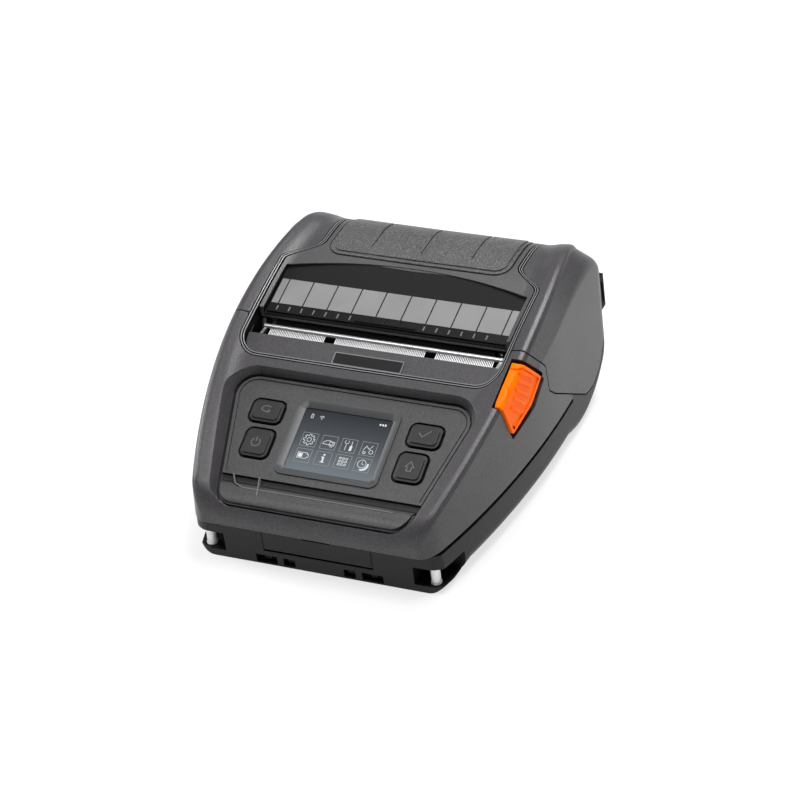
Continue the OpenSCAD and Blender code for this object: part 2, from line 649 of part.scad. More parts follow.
module head_frame() {
    translate([platen_y, platen_z]) rotate(225) translate([platen_r + 0.35, 0]) children();
}
module print_head() color([0.85, 0.82, 0.75]) across(-platen_half, platen_half)
    head_frame() translate([0, -4]) square([1.2, 9]);
module heat_sink() color([0.6, 0.61, 0.63]) {
    across(-platen_half + 1, platen_half - 1) head_frame() translate([1.2, -2.5]) square([3, 7.5]);
    for (x = [-platen_half + 4:4:platen_half - 4]) across(x, x + 1.2) head_frame() translate([4.1, -2.5]) square([1.6, 7.5]);
    across(-22, platen_half - 8) translate([seam_y, parting_z]) square([1.6, platen_z - 8 - parting_z]);
}

function gear_shape(n, phase) = let (r = gear_m * n / 2, p = 360 / n) [for (k = [0:n - 1]) each [
    (r - 1.1 * gear_m) * [cos(phase + (k - 0.32) * p), sin(phase + (k - 0.32) * p)],
    r * [cos(phase + (k - 0.2) * p), sin(phase + (k - 0.2) * p)],
    (r + 0.75 * gear_m) * [cos(phase + (k - 0.09) * p), sin(phase + (k - 0.09) * p)],
    (r + 0.75 * gear_m) * [cos(phase + (k + 0.09) * p), sin(phase + (k + 0.09) * p)],
    r * [cos(phase + (k + 0.2) * p), sin(phase + (k + 0.2) * p)],
    (r - 1.1 * gear_m) * [cos(phase + (k + 0.32) * p), sin(phase + (k + 0.32) * p)]]];
gear_x = -platen_half - 0.6;
motor_x = gear_x + 3.1;
module gear(y, z, n, phase, bore_r) {
    difference() {
        across(gear_x - gear_w, gear_x) translate([y, z]) polygon(gear_shape(n, phase));
        along_x(y, z, bore_r, gear_x - 10, gear_x + 10);
    }
}
idler_phase = idler_angle - 180 + 180 / idler_teeth;
pinion_phase = pinion_angle - 180 + 180 / pinion_teeth;
module stepper_motor() color([0.35, 0.36, 0.38]) {
    difference() {
        along_x(pinion_y, pinion_z, 12.5, motor_x, motor_x + 21.5);
        along_x(pinion_y, pinion_z, 1 + run, motor_x - 0.5, motor_x + 9.5);
    }
    difference() {
        union() {
            along_x(pinion_y, pinion_z, 12.8, motor_x - 1.5, motor_x);
            across(motor_x - 1.5, motor_x) translate([pinion_y - 13.5, pinion_z - 10]) square([11, 13]);
        }
        along_x(pinion_y, pinion_z, 4, motor_x - 10, motor_x + 9);
    }
    along_x(pinion_y - 11, pinion_z - 7.5, 1.8, -lid_half - 0.4, motor_x - 1.5);
    along_x(pinion_y - 11, pinion_z + 0.5, 1.8, -lid_half - 0.4, motor_x - 1.5);
}
module motor_pinion() color(steel) {
    gear(pinion_y, pinion_z, pinion_teeth, pinion_phase, 0.9);
    along_x(pinion_y, pinion_z, 1, gear_x - gear_w - 0.4, motor_x + 7.5);
}
module idler_gear() color([0.9, 0.88, 0.8])
    gear(idler_y, idler_z, idler_teeth, idler_phase, 1.5 + run);
module platen_gear() color([0.9, 0.88, 0.8]) gear(platen_y, platen_z, platen_teeth, idler_angle, shaft_r);
module platen_shaft() color(steel) along_x(platen_y, platen_z, shaft_r, -lid_half + 0.7, lid_half - 0.7);
module platen_roller() color([0.12, 0.12, 0.12]) difference() {
    along_x(platen_y, platen_z, platen_r, -platen_half, platen_half);
    along_x(platen_y, platen_z, shaft_r, -big, big);
}
bush_r = 3.9;
ear_x = platen_half + 3;
module platen_bushes() color([0.7, 0.6, 0.35]) difference() {
    for (s = [-1, 1]) along_x(platen_y, platen_z, bush_r, s * (ear_x + 1.15) - 1.15, s * (ear_x + 1.15) + 1.15);
    along_x(platen_y, platen_z, shaft_r + run, -big, big);
}

module main_board() color([0.1, 0.4, 0.22]) {
    block(-lid_half + 5.4, lid_half - 5.4, front_y + 26.4, seam_y - 1.4, board_z, board_z + board_t);
    color(dark) {
        block(-12, 8, front_y + 40, front_y + 60, board_z + board_t, board_z + board_t + 1.8);
        block(18, 30, front_y + 44, front_y + 56, board_z + board_t, board_z + board_t + 1.4);
        block(-36, -26, front_y + 34, front_y + 52, board_z + board_t, board_z + board_t + 2.4);
    }
    block(-16, 16, case_front_y + 6, front_y + 27, board_z, board_z + board_t);
}
module battery_pack() color([0.15, 0.15, 0.16]) difference() {
    block(-battery_half, battery_half, battery_y0, battery_y1, underside_z, battery_top);
    block(-9, 9, battery_y0 - 1, battery_y0 + 5, underside_z - 1, underside_z + 3);
}
module io_ports() color(steel) difference() {
    union() {
        block(-13, -4, case_front_y + 4.5, case_front_y + 12, board_z - 4, board_z);
        block(3, 13, case_front_y + 4.5, case_front_y + 12, board_z - 8, board_z);
    }
    block(-12, -5, case_front_y, case_front_y + 11, board_z - 3.2, board_z - 0.8);
    translate([8, case_front_y, board_z - 4]) rotate([-90, 0, 0]) cylinder(r = 2.8, h = 10, $fn = 32);
}
module port_flap() color([0.2, 0.2, 0.21]) difference() {
    union() {
        block(-flap_w / 2, flap_w / 2, case_front_y, case_front_y + flap_t, flap_axis_z, flap_z + flap_h);
        along_x(flap_axis_y, flap_axis_z, 1, -flap_w / 2, flap_w / 2);
        along_x(flap_axis_y, flap_axis_z, 0.8, -flap_w / 2 - 1.8, flap_w / 2 + 1.8);
    }
    block(-6.5, 6.5, case_front_y - 1, case_front_y + 1.1, flap_z + flap_h - 1.7, flap_z + flap_h + 1);
}
module charge_contacts() color([0.8, 0.65, 0.3]) {
    for (x = [-25, -14.2, 14.2, 25]) block(x - 1.6, x + 1.6, case_front_y + 1.8, case_front_y + 3, 1.6, 4);
}
module strap_pins() color(steel) for (s = [-1, 1])
    translate([s * strap_x, strap_y, pocket_z0]) cylinder(r = strap_pin_r, h = pocket_z1 - pocket_z0, $fn = 48);
loop_x = lid_half + 4.5;
module rear_strap_loops() color(dark) for (s = [-1, 1]) difference() {
    block(min(s * loop_x, s * (loop_x + 5)), max(s * loop_x, s * (loop_x + 5)), rear_y - 6, rear_y + loop_out,
        belly_z - 4, belly_z + 13);
    block(-body_w, body_w, rear_y - 1.4, rear_y + 0.6, belly_z - 1, belly_z + 10);
    translate([s * (body_w / 2 - rear_corner_r), rear_y - rear_corner_r, 0])
        cylinder(r = rear_corner_r - 0.1, h = body_h, $fn = 96);
}
module case_screws() color(steel) for (p = screw_places) translate([p[0], p[1], underside_z + 0.2]) difference() {
    union() {
        cylinder(r = 2.6, h = 1.2, $fn = 32);
        cylinder(r = 1.2, h = 7, $fn = 32);
    }
    translate([0, 0, -0.1]) cylinder(r = 1.1, h = 0.9, $fn = 6);
}
module media_sensor() color(dark) difference() {
    block(-6, 6, belly_y - chamber_r - trough_t, belly_y - 31, parting_z, parting_z + 3.2);
    along_x(belly_y, belly_z, chamber_r + trough_t, -10, 10);
}
guide_r = 28;
module media_guide(side) color([0.2, 0.2, 0.21]) {
    x = chamber_x - 4.4;
    across(side > 0 ? x : -x - 2.4, side > 0 ? x + 2.4 : -x) difference() {
        union() {
            translate([belly_y, belly_z]) circle(r = guide_r, $fn = 96);
            translate([belly_y - 8, belly_z - chamber_r + 1.2]) square([16, 12]);
        }
        translate([belly_y - 3 - run, belly_z - chamber_r - 1]) square([6 + 2 * run, 3.6 + run]);
        translate([belly_y - 16, belly_z + 14]) circle(r = 8, $fn = 48);
    }
    along_x(belly_y, belly_z, 11, side > 0 ? x - 5 : -x, side > 0 ? x : -x + 5);
}
module left_media_guide() media_guide(-1);
module right_media_guide() media_guide(1);
module guide_rail() color(steel) across(-chamber_x, chamber_x) intersection() {
    translate([belly_y - 3, belly_z - chamber_r]) square([6, 2.6]);
    translate([belly_y, belly_z]) circle(r = chamber_r, $fn = 180);
}

// Frame of the mouth's upper floor: x across, v up the slope, z out of it
module on_floor() {
    translate([0, mouth_floor_y, mouth_floor_z]) rotate([floor_slope, 0, 0]) children();
}
roof_t = 2;
plate_l = 14.4;
// Space that the wings of the lid leave free, so that they swing clear of the bead behind them
function top_z(x, y) = let (d = ridge_x(y) - x) ridge_z(y) - crown_dip
    * (d > 11 ? 0.9 + 0.1 * (d - 11) / (ridge_x(y) - 11) : d > 6 ? 0.25 + 0.13 * (d - 6)
       : 0.25 * max(0, (d - 1.8) / 4.2));
function clear_r(x, y) = norm([y + 0.5 * seam - hinge_y, top_z(x, y + seam) - hinge_z]) + 0.25;
module swing_cut(side) {
    translate([0, hinge_y, hinge_z]) rotate([0, 90, 0]) rotate_extrude($fn = 120)
        polygon([[0, side * lid_rear_half], for (k = [8:-1:0]) let (p = lid_edge(0)[k])
            [clear_r(p[0], p[1]), side * p[0]], [clear_r(lid_half, bend_y), side * (lid_half + 4)], [0, side * (lid_half + 4)]]);
}
module lid_shell() color(charcoal) difference() {
    union() {
        difference() {
            intersection() {
                body_form();
                linear_extrude(120) lid_plan();
            }
            intersection() {
                above_floor();
                linear_extrude(120) mouth_opening_plan();
            }
            intersection() {
                above_floor(tray_t);
                linear_extrude(120) tray_plan(tray_t);
                across(-big, big) tray_side();
            }
            across(-big, big) {
                translate([mouth_floor_y, mouth_floor_z]) rotate(floor_slope) translate([-40, -roof_t - 60]) square([60, 60]);
                translate([-big, -1]) square([3 * big, hinge_z + knuckle_r + 1.4]);
            }
            along_x(belly_y, belly_z, chamber_r, -big, big);
            swing_cut(1);
            swing_cut(-1);
        }
        both_sides(barrel_half + seam, lid_rear_half) {
            translate([hinge_y, hinge_z]) circle(r = knuckle_r, $fn = 48);
            translate([hinge_y - 3, hinge_z]) square([5, 8]);
        }
    }
    along_x(hinge_y, hinge_z, knuckle_r + 0.4, -barrel_half - seam, barrel_half + seam);
    along_x(hinge_y, hinge_z, hinge_pin_r + run, -big, big);
}
pad_y = bend_end_y - 8;
module pad_plan() {
    polygon(fillet([[pad_half, pad_y + pad_len, 2], [-pad_half, pad_y + pad_len, 2], [-pad_half, pad_y, 7],
        [pad_half, pad_y, 7]]));
}
module lid_grip_pad() color([0.16, 0.16, 0.17]) difference() {
    intersection() {
        translate([0, 0, pad_h]) body_form();
        translate([0, 0, body_h - 20]) linear_extrude(60) pad_plan();
    }
    body_form();
    for (x = [-23.5, 0.5, 24.5]) block(x - 0.3, x + 0.3, pad_y + 6, pad_y + 20, body_h - crown_dip + 0.35, big);
}
module tray_side() {
    polygon([[seam_y - 5, 0], [seam_y - 5, body_h], [mouth_floor_y, mouth_floor_z + 4],
        [mouth_floor_y + 12, ridge_z(mouth_floor_y + 12) - crown_dip - 1.4],
        [lip_y + 4, ridge_z(lip_y + 4) - crown_dip - 1.4], [lip_y + 4, 0]]);
}
module mouth_tray() color(dark) difference() {
    intersection() {
        above_floor(tray_t);
        linear_extrude(120) tray_plan(tray_t);
        linear_extrude(120) translate([-lid_half, seam_y + 5]) square([2 * lid_half, 60]);
        across(-big, big) tray_side();
    }
    intersection() {
        above_floor();
        linear_extrude(120) mouth_opening_plan();
    }
}
module guide_plate() color([0.55, 0.55, 0.56]) on_floor() difference() {
    translate([-chamber_x, 0, 0]) cube([2 * chamber_x, plate_l, 0.7]);
    for (k = [-4.5:4.5]) translate([k * chamber_x / 4.8 - 0.25, -1, 0.4]) cube([0.5, plate_l + 2, 1]);
}
module peeler_strip() color(dark) on_floor() {
    translate([-chamber_x, -5.2, 0]) cube([2 * chamber_x, 5, 1]);
    for (x = [-chamber_x + 4.5:5.9:chamber_x - 4]) translate([x - 0.5, -4.2, 1]) cube([1, 2.4, 0.4]);
    translate([-14.5, -4.6, 1]) cube([29, 3.2, 0.7]);
}
module lid_frame() color([0.2, 0.2, 0.21]) difference() {
    union() {
        across(-ear_x - 2.3, ear_x + 2.3) lid_frame_profile();
        both_sides(ear_x, ear_x + 2.3) {
            translate([platen_y, platen_z]) circle(r = bush_r + 1.4, $fn = 64);
            difference() {
                translate([platen_y - 3, platen_z]) square([12, 12]);
                translate([mouth_floor_y, mouth_floor_z]) rotate(floor_slope) translate([-40, -roof_t]) square([80, 60]);
            }
        }
    }
    along_x(platen_y, platen_z, bush_r, -big, big);
}
module lid_frame_profile() {
    difference() {
        translate([platen_y - 2, platen_z - 1]) square([19, 14]);
        translate([mouth_floor_y, mouth_floor_z]) rotate(floor_slope) translate([-40, -roof_t]) square([80, 60]);
        translate([platen_y, platen_z]) circle(r = platen_r + 1.2, $fn = 96);
        translate([belly_y, belly_z]) circle(r = chamber_r, $fn = 180);
        translate([platen_y - 4, platen_z - 10]) square([8, 14]);
    }
}
module latch_button() color(orange) {
    intersection() {
        translate([1, 0, 0.5]) body_form();
        across(lid_half + 5.4, body_w) latch_profile();
    }
    along_x(stem_y, stem_z, stem_r, lid_half - 6, lid_half + 6);
}
module hook_profile() {
    y = platen_y;
    z = platen_z;
    translate([hook_y, hook_z]) circle(r = 3.2, $fn = 48);
    polygon([[hook_y - 1.5, hook_z + 2], [hook_y - 1.1, z + 1.2], [y - 5, z + 4.9], [y - 0.6, z + 4.9],
        [y + 0.6, z + 3.6], [y, z + shaft_r + 0.3], [y - 2.6, z + shaft_r + 0.2], [y - 3.6, z],
        [hook_y + 1.9, z - 9], [hook_y + 2.2, hook_z + 2]]);
}
module latch_hooks() color(steel) {
    along_x(hook_y, hook_z, 2, -lid_half - 0.4 - frame_t, lid_half + 0.4 + frame_t);
    both_sides(lid_half - 2.4, lid_half - 0.6) hook_profile();
}
module hinge_pin() color(steel) along_x(hinge_y, hinge_z, hinge_pin_r, -lid_rear_half, lid_rear_half);

lower_case();
upper_housing();
left_shoulder_cover();
right_shoulder_cover();
seal_bead();
control_panel();
lcd_bezel();
lcd_window();
lcd_module();
keypad_board();
key_feed();
key_power();
key_enter();
key_home();
name_plate();
tear_bar();
exit_rod();
left_side_frame();
right_side_frame();
chamber_trough();
print_head();
heat_sink();
stepper_motor();
motor_pinion();
idler_gear();
main_board();
battery_pack();
port_flap();
io_ports();
charge_contacts();
strap_pins();
rear_strap_loops();
case_screws();
media_sensor();
left_media_guide();
right_media_guide();
guide_rail();
lid_shell();
lid_grip_pad();
mouth_tray();
guide_plate();
peeler_strip();
lid_frame();
platen_bushes();
platen_shaft();
platen_roller();
platen_gear();
latch_button();
latch_hooks();
hinge_pin();
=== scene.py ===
import bpy
import bmesh
import json
import math
from math import sin, cos, pi, radians, sqrt, hypot
from mathutils import Matrix, Vector


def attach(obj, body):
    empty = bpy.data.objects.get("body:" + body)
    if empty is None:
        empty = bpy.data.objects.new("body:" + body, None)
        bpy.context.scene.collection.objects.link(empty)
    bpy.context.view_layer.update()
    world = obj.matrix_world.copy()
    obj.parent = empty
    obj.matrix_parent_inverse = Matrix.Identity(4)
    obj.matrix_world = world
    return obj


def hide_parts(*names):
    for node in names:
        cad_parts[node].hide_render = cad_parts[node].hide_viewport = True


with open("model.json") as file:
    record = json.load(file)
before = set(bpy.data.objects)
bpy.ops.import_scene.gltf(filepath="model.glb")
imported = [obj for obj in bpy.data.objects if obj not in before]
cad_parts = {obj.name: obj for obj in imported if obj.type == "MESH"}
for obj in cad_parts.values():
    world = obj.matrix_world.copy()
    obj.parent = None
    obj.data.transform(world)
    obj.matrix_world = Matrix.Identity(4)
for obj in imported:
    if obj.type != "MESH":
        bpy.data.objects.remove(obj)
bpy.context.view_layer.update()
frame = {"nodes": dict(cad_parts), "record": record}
MM = 0.001

# Body in millimetres, as in the part's source
BODY_W = 146  # width across the side walls
BODY_H = 80.2  # height of the side ridges
FRONT, REAR = -89.0, 87.0
FALL = 44.6  # fall of the ridge from the crown to the front
RIDGE_W = 137.8  # width across the two ridges
DIP = 2.2  # how far the top dips between the ridges
DIP_STEPS = [(1.8, 0), (6, 0.25), (11, 0.9)]  # distance in from the ridge, share of the dip
SIDE_R = 417  # plan radius of the side walls
RIDGE_R = 270  # plan radius of the ridges in front
WIDE_Y, RIDGE_WIDE_Y = 25, 4  # where walls and ridges are widest
LEAN = 2.2  # how far the walls lean in at the front
BEVEL = 13  # height of the bevel under each ridge
EDGE_R = 7  # radius of the long bottom edges
LIP_R = 9  # radius of the front lip
CORNER_R = 13  # plan radius of the rear corners
APEX_Y = 54  # front end of the ridge's highest stretch
CROWN_Y, CROWN_R = 61, 26  # start and radius of the crown's round
SKID_END, RAMP_END = FRONT + 14, FRONT + 26  # ends of the skid block and its ramp
UNDER = 3  # height of the underside behind the ramp
BELLY_R, BELLY_Y, BELLY_Z = 40, 45, 40  # round back of the roll chamber
CHAMBER_R, CHAMBER_X = 35.5, 57  # roll chamber: radius and half length
PART_Z = 21  # parting line between the upper housing and the lower case
SEAM = 0.3  # gap at the moulded seams
SEAM_Y = -1  # front end of the seam beside the mouth

# Lid, mouth, hinge and control panel, as in the part's source
LID_HALF, LID_REAR = 60, 46.5  # half widths in front of the S bends and behind
BEND_END, BEND_LEN = 50, 17
BEND_START = BEND_END - BEND_LEN
MOUTH_FRONT, MOUTH_BACK, MOUTH_R = -19, 19, 9
FLOOR_Y, FLOOR_Z, FLOOR_A = 9.9, 68.9, 14.8  # the mouth's upper floor
FLOOR_EDGE, LEDGE = -8, 60.6  # the ledge under the mouth
BEAD_W, BEAD_H = 1.5, 3
HINGE_Y, HINGE_Z, KNUCKLE = 81.6, 42.5, 4.2
HINGE_PIN_R, PIN_PLAY = 1.5, 0.05
BARREL_HALF = 30  # half length of the hinge barrel on the case
PAD_Y, PAD_LEN, PAD_HALF = 42, 34, LID_REAR - 3  # the grip pad
PANEL_Y, PANEL_Z, PANEL_A = -49, 46.8, 22.5
PANEL_T = 2.2
LCD_W, LCD_L, LCD_U = 41.2, 30.7, -2.6  # display window
KEY_TOP, KEY_LOW = (14.4, 10.6), (12.6, 13.6)  # width and length of the keys
KEYS = {'key_feed': (-37.3, 7.2, *KEY_TOP), 'key_power': (-36, -8.8, *KEY_LOW),
        'key_enter': (37.3, 7.2, *KEY_TOP), 'key_home': (36, -8.8, *KEY_LOW)}

# Finish of the pieces in this scene
STATION_STEP = 2.5  # distance between the body's cross sections
EDGE_ROUND = 0.35  # rounding of the shells' edges
PART_GAP = 0.9  # how far upper housing and lower case stand off their parting line
HOLLOW_X = 62.7  # half width of the space under the mouth
LID_FRONT, LID_PLAY = 4, 0.25
LIP_Y, BOW_R = 39, 207  # middle and radius of the bowed lip over the mouth
TRAY_T = 0.8  # thickness of the mouth's tray
BEAD_IN, BEAD_OUT = SEAM + 0.2, SEAM + 1.75  # the bead's edges, out from the lid
BEAD_GROOVE_IN, BEAD_GROOVE_OUT = SEAM + 0.65, SEAM + 1.25  # the groove between its two ridges
BEAD_ROOM = SEAM + BEAD_W + 0.75  # outer edge of the gap in which it lies
BEAD_LOW, BEAD_TOP = -0.9, 59  # reach of the bead round the mouth, off the panel's face
KNUCKLE_PLAY = 0.4
PAD_LOW = 60  # a height below the pad
PLATE_HALF = 57  # half width of guide plate and peeler strip
GUIDE_PITCH = 11.875  # between the guide plate's grooves
KEY_GAP, SKIRT = 2.3, 3.2  # how much larger the keys' openings and skirts are
ICON_X, ICON_U = (-14, -4.6, 4.6, 14), (-2.4, -10.4)  # columns and rows of the display's icons
INK_W = 0.22  # width of the lines on the display
NAME_PLATE = (0, 37.8, 33, 6.4)  # middle, width and length
STRAP_X, STRAP_Y = 53, -80
STRAP_R, COLLAR_R, COLLAR_H = 2.1, 2.5, 0.7
OPEN_LOW, OPEN_TOP = 3.6, 12.8  # heights of the corner openings
ROD_FOOT_X, ROD_FOOT_Y = 24, -1.6  # feet of the exit rod
TEAR_HALF = 54
TOOTH_PITCH, TOOTH_COUNT = 0.8, 134
BIG, TALL = 200, 120  # how far cutters reach past the body, sideways and upwards
ROOM_HALF, ROOM_H = 25, 9  # white room, in metres


# Cross sections of the body
def round_in(r, d):
    """How far a round of radius r has fallen away at a distance d along it."""
    return r - sqrt(max(0, r ** 2 - d ** 2))


def ridge_z(y):
    if y < APEX_Y:
        z = BODY_H - FALL * ((APEX_Y - y) / (APEX_Y - FRONT)) ** 1.65
    elif y < CROWN_Y:
        z = BODY_H
    else:
        z = BODY_H - round_in(CROWN_R, y - CROWN_Y)
    if y < FRONT + LIP_R:
        z -= round_in(LIP_R, FRONT + LIP_R - y)
    return z


def corner_in(y):
    if y < REAR - CORNER_R:
        return 0
    return round_in(CORNER_R, y - REAR + CORNER_R)


def front_in(y):
    if y > FRONT + LIP_R:
        return 0
    return 0.5 * round_in(LIP_R, FRONT + LIP_R - y)


def wall_x(y):
    return BODY_W / 2 - ((WIDE_Y - y) ** 2 / (2 * SIDE_R) if y < WIDE_Y else 0) - corner_in(y) - front_in(y)


def ridge_x(y):
    r = RIDGE_R if y < RIDGE_WIDE_Y else SIDE_R
    return RIDGE_W / 2 - (RIDGE_WIDE_Y - y) ** 2 / (2 * r) - corner_in(y) - front_in(y)


def top_z(x, y):
    """Height of the top face at a distance x from the middle."""
    runs = [*DIP_STEPS, (ridge_x(y), 1)]
    d = ridge_x(y) - x
    share = 0
    for (d0, share0), (d1, share1) in zip(runs, runs[1:]):
        if d > d0:
            share = share0 + (share1 - share0) * (d - d0) / (d1 - d0)
    return ridge_z(y) - DIP * share


def round_z(y):
    return round_in(BELLY_R, y - BELLY_Y)


def base_z(y):
    if y < SKID_END:
        return 0
    if y < RAMP_END:
        return UNDER * (y - SKID_END) / (RAMP_END - SKID_END)
    if y < BELLY_Y:
        return min(UNDER, round_z(y))
    return round_z(y)


def rounded(points, radii, n, closed=False):
    """Rounds each corner of a polyline with n + 1 points, so that every result has the same count."""
    out = []
    count = len(points)
    for i, (p, r) in enumerate(zip(points, radii)):
        if r == 0 or (not closed and i in (0, count - 1)):
            out.append(tuple(p))
            continue
        a, b = points[(i - 1) % count], points[(i + 1) % count]
        ua, ub = (a[0] - p[0], a[1] - p[1]), (b[0] - p[0], b[1] - p[1])
        la, lb = hypot(*ua) or 1e-9, hypot(*ub) or 1e-9
        ua, ub = (ua[0] / la, ua[1] / la), (ub[0] / lb, ub[1] / lb)
        half = math.acos(max(-1, min(1, ua[0] * ub[0] + ua[1] * ub[1]))) / 2
        t = min(r / math.tan(half) if half > 1e-6 else 0, 0.49 * la, 0.49 * lb)
        s, e = (p[0] + ua[0] * t, p[1] + ua[1] * t), (p[0] + ub[0] * t, p[1] + ub[1] * t)
        w = cos(pi / 2 - half)
        for k in range(n + 1):
            q = k / n
            b0, b1, b2 = (1 - q) ** 2, 2 * q * (1 - q) * max(w, 1e-6), q * q
            d = b0 + b1 + b2
            out.append(((b0 * s[0] + b1 * p[0] + b2 * e[0]) / d, (b0 * s[1] + b1 * p[1] + b2 * e[1]) / d))
    return out


def fillet(corners, n=8):
    """A closed outline from corners given as x, y and radius."""
    return rounded([(c[0], c[1]) for c in corners], [c[2] for c in corners], n, True)


def half_section(y):
    """Right half of the body's cross section, from the middle of the base to the middle of the top."""
    top, base = ridge_z(y), base_z(y)
    height = top - base
    wall, ridge = wall_x(y), ridge_x(y)
    lean = LEAN * (WIDE_Y - y) / (WIDE_Y - FRONT) if y < WIDE_Y else 0
    shrink = 1 - 0.45 * min(1, (y - WIDE_Y) / 45) if y > WIDE_Y else 1
    bevel_h = min(BEVEL * shrink, 0.35 * height)
    points = [(0, base), (wall - 0.5, base), (wall - lean, top - bevel_h), (ridge + 1.3 * shrink, top - 1.9),
              (ridge, top - 0.5)]
    points += [(ridge - d, top - share * DIP) for d, share in DIP_STEPS] + [(0, top - DIP)]
    return rounded(points, [0, min(EDGE_R, 0.3 * height), 7, 1.6, 1.6, 3.2, 14, 18, 0], 6)


def stations():
    """Places along y that get a cross section, close together at the two rounded ends."""
    ys = [FRONT + LIP_R * (1 - cos(radians(a))) for a in range(0, 90, 6)]
    y = FRONT + LIP_R
    while y < REAR - CORNER_R - STATION_STEP * 0.5:
        ys.append(y)
        y += STATION_STEP
    ys += [REAR - CORNER_R + CORNER_R * sin(radians(a)) * 0.9995 for a in range(0, 91, 5)]
    ys = sorted(ys + [SKID_END, RAMP_END])
    return [y for i, y in enumerate(ys) if i == 0 or y - ys[i - 1] > 0.02]


# Frames in which shapes are placed
PANEL_FRAME = Matrix.Translation((0, PANEL_Y, PANEL_Z)) @ Matrix.Rotation(radians(PANEL_A), 4, 'X')
FLOOR_FRAME = Matrix.Translation((0, FLOOR_Y, FLOOR_Z)) @ Matrix.Rotation(radians(FLOOR_A), 4, 'X')
OFF_PANEL = PANEL_FRAME.inverted()
OFF_FLOOR = FLOOR_FRAME.inverted()


def upwards(v):
    return v


def sideways(v):
    return (v[2], v[0], v[1])


def on_panel(v):
    return tuple(PANEL_FRAME @ Vector(v))


def across_panel(v):
    return on_panel(sideways(v))


def on_floor(v):
    return tuple(FLOOR_FRAME @ Vector(v))


def panel_point(x, y, z):
    """The point in the panel's own frame."""
    return OFF_PANEL @ Vector((x, y, z))


def above_floor(x, y, z):
    return (OFF_FLOOR @ Vector((x, y, z))).z


# Solid shapes
def linked(name, data):
    """A new object in the scene."""
    ob = bpy.data.objects.new(name, data)
    bpy.context.scene.collection.objects.link(ob)
    return ob


def new_object(name, verts, faces):
    mesh = bpy.data.meshes.new(name)
    mesh.from_pydata([(v[0] * MM, v[1] * MM, v[2] * MM) for v in verts], [], faces)
    mesh.validate()
    bm = bmesh.new()
    bm.from_mesh(mesh)
    bmesh.ops.recalc_face_normals(bm, faces=bm.faces)
    bm.to_mesh(mesh)
    bm.free()
    return linked(name, mesh)


def quads(rows, count, wrap):
    """Faces between rows of count points, each row closed; wrap joins the last row to the first."""
    faces = []
    for k in range(rows if wrap else rows - 1):
        this, after = k * count, (k + 1) % rows * count
        for i in range(count):
            j = (i + 1) % count
            faces.append((this + i, after + i, after + j, this + j))
    return faces


def loft(name, raise_z=0, push_x=0):
    """The whole body form, lifted by raise_z and pushed to the right by push_x."""
    verts = []
    ys = stations()
    for y in ys:
        half = half_section(y)
        section = half + [(-x, z) for x, z in half[-2:0:-1]]
        verts += [(x + push_x, y, z + raise_z) for x, z in section]
    count = len(verts) // len(ys)
    faces = quads(len(ys), count, False)
    faces += [tuple(range(count)), tuple(range(len(verts) - 1, len(verts) - count - 1, -1))]
    return new_object(name, verts, faces)


def skin(loops, place):
    """Points and faces of a solid through outlines of one count, given as (outline, height)."""
    n = len(loops[0][0])
    verts = [place((p[0], p[1], h)) for outline, h in loops for p in outline]
    faces = [(k * n + i, k * n + (i + 1) % n, (k + 1) * n + (i + 1) % n, (k + 1) * n + i)
             for k in range(len(loops) - 1) for i in range(n)]
    return verts, faces + [tuple(range(n - 1, -1, -1)), tuple(range(len(verts) - n, len(verts)))]


def stack(loops, place=upwards, name='cut'):
    return new_object(name, *skin(loops, place))


def prism(outline, low, high, place=upwards, name='cut'):
    return stack([(outline, low), (outline, high)], place, name)


def upright(outline, past=0, low=0):
    """An outline seen from above, carried up through the body, past its ends by a little on request."""
    return prism(outline, low - past, TALL + past)


def across(outline, x0, x1):
    """An outline seen from the side, given as (y, z), carried from x0 to x1."""
    return prism(outline, x0, x1, sideways)


def rect(x0, x1, y0, y1):
    return [(x0, y0), (x1, y0), (x1, y1), (x0, y1)]


def block(x0, x1, y0, y1, z0, z1, place=upwards, name='cut'):
    return prism(rect(x0, x1, y0, y1), z0, z1, place, name)


def circle(cx, cy, r, n):
    return [(cx + r * cos(2 * pi * k / n), cy + r * sin(2 * pi * k / n)) for k in range(n)]


def along_x(y, z, r, x0, x1, n=64):
    return across(circle(y, z, r, n), x0, x1)


def at_hinge(r, x0, x1):
    return along_x(HINGE_Y, HINGE_Z, r, x0, x1)


def roll_chamber(half):
    return along_x(BELLY_Y, BELLY_Z, CHAMBER_R, -half, half, 180)


def rrect(cx, cy, w, l, r):
    return fillet([(cx + w / 2, cy + l / 2, r), (cx - w / 2, cy + l / 2, r), (cx - w / 2, cy - l / 2, r),
                   (cx + w / 2, cy - l / 2, r)])


def lathe_x(outline):
    """Turns a closed (radius, x) outline about the lid hinge's axis, in 160 steps."""
    verts = []
    for k in range(160):
        a = 2 * pi * k / 160
        verts += [(x, HINGE_Y + r * cos(a), HINGE_Z + r * sin(a)) for r, x in outline]
    return new_object('cut', verts, quads(160, len(outline), True))


# Work on solids
def evaluated(ob):
    deps = bpy.context.evaluated_depsgraph_get()
    return bpy.data.meshes.new_from_object(ob.evaluated_get(deps))


def take_modifiers(ob):
    """Swaps the object's mesh for what its modifiers make of it."""
    old = ob.data
    ob.data = evaluated(ob)
    ob.modifiers.clear()
    bpy.data.meshes.remove(old)


def remove(ob):
    mesh = ob.data
    bpy.data.objects.remove(ob)
    if mesh.users == 0:
        bpy.data.meshes.remove(mesh)


def mark(mesh):
    """Numbers that change when the mesh does."""
    place = sum(v.co.x + 2 * v.co.y + 3 * v.co.z for v in mesh.vertices)
    return len(mesh.vertices), len(mesh.polygons), place


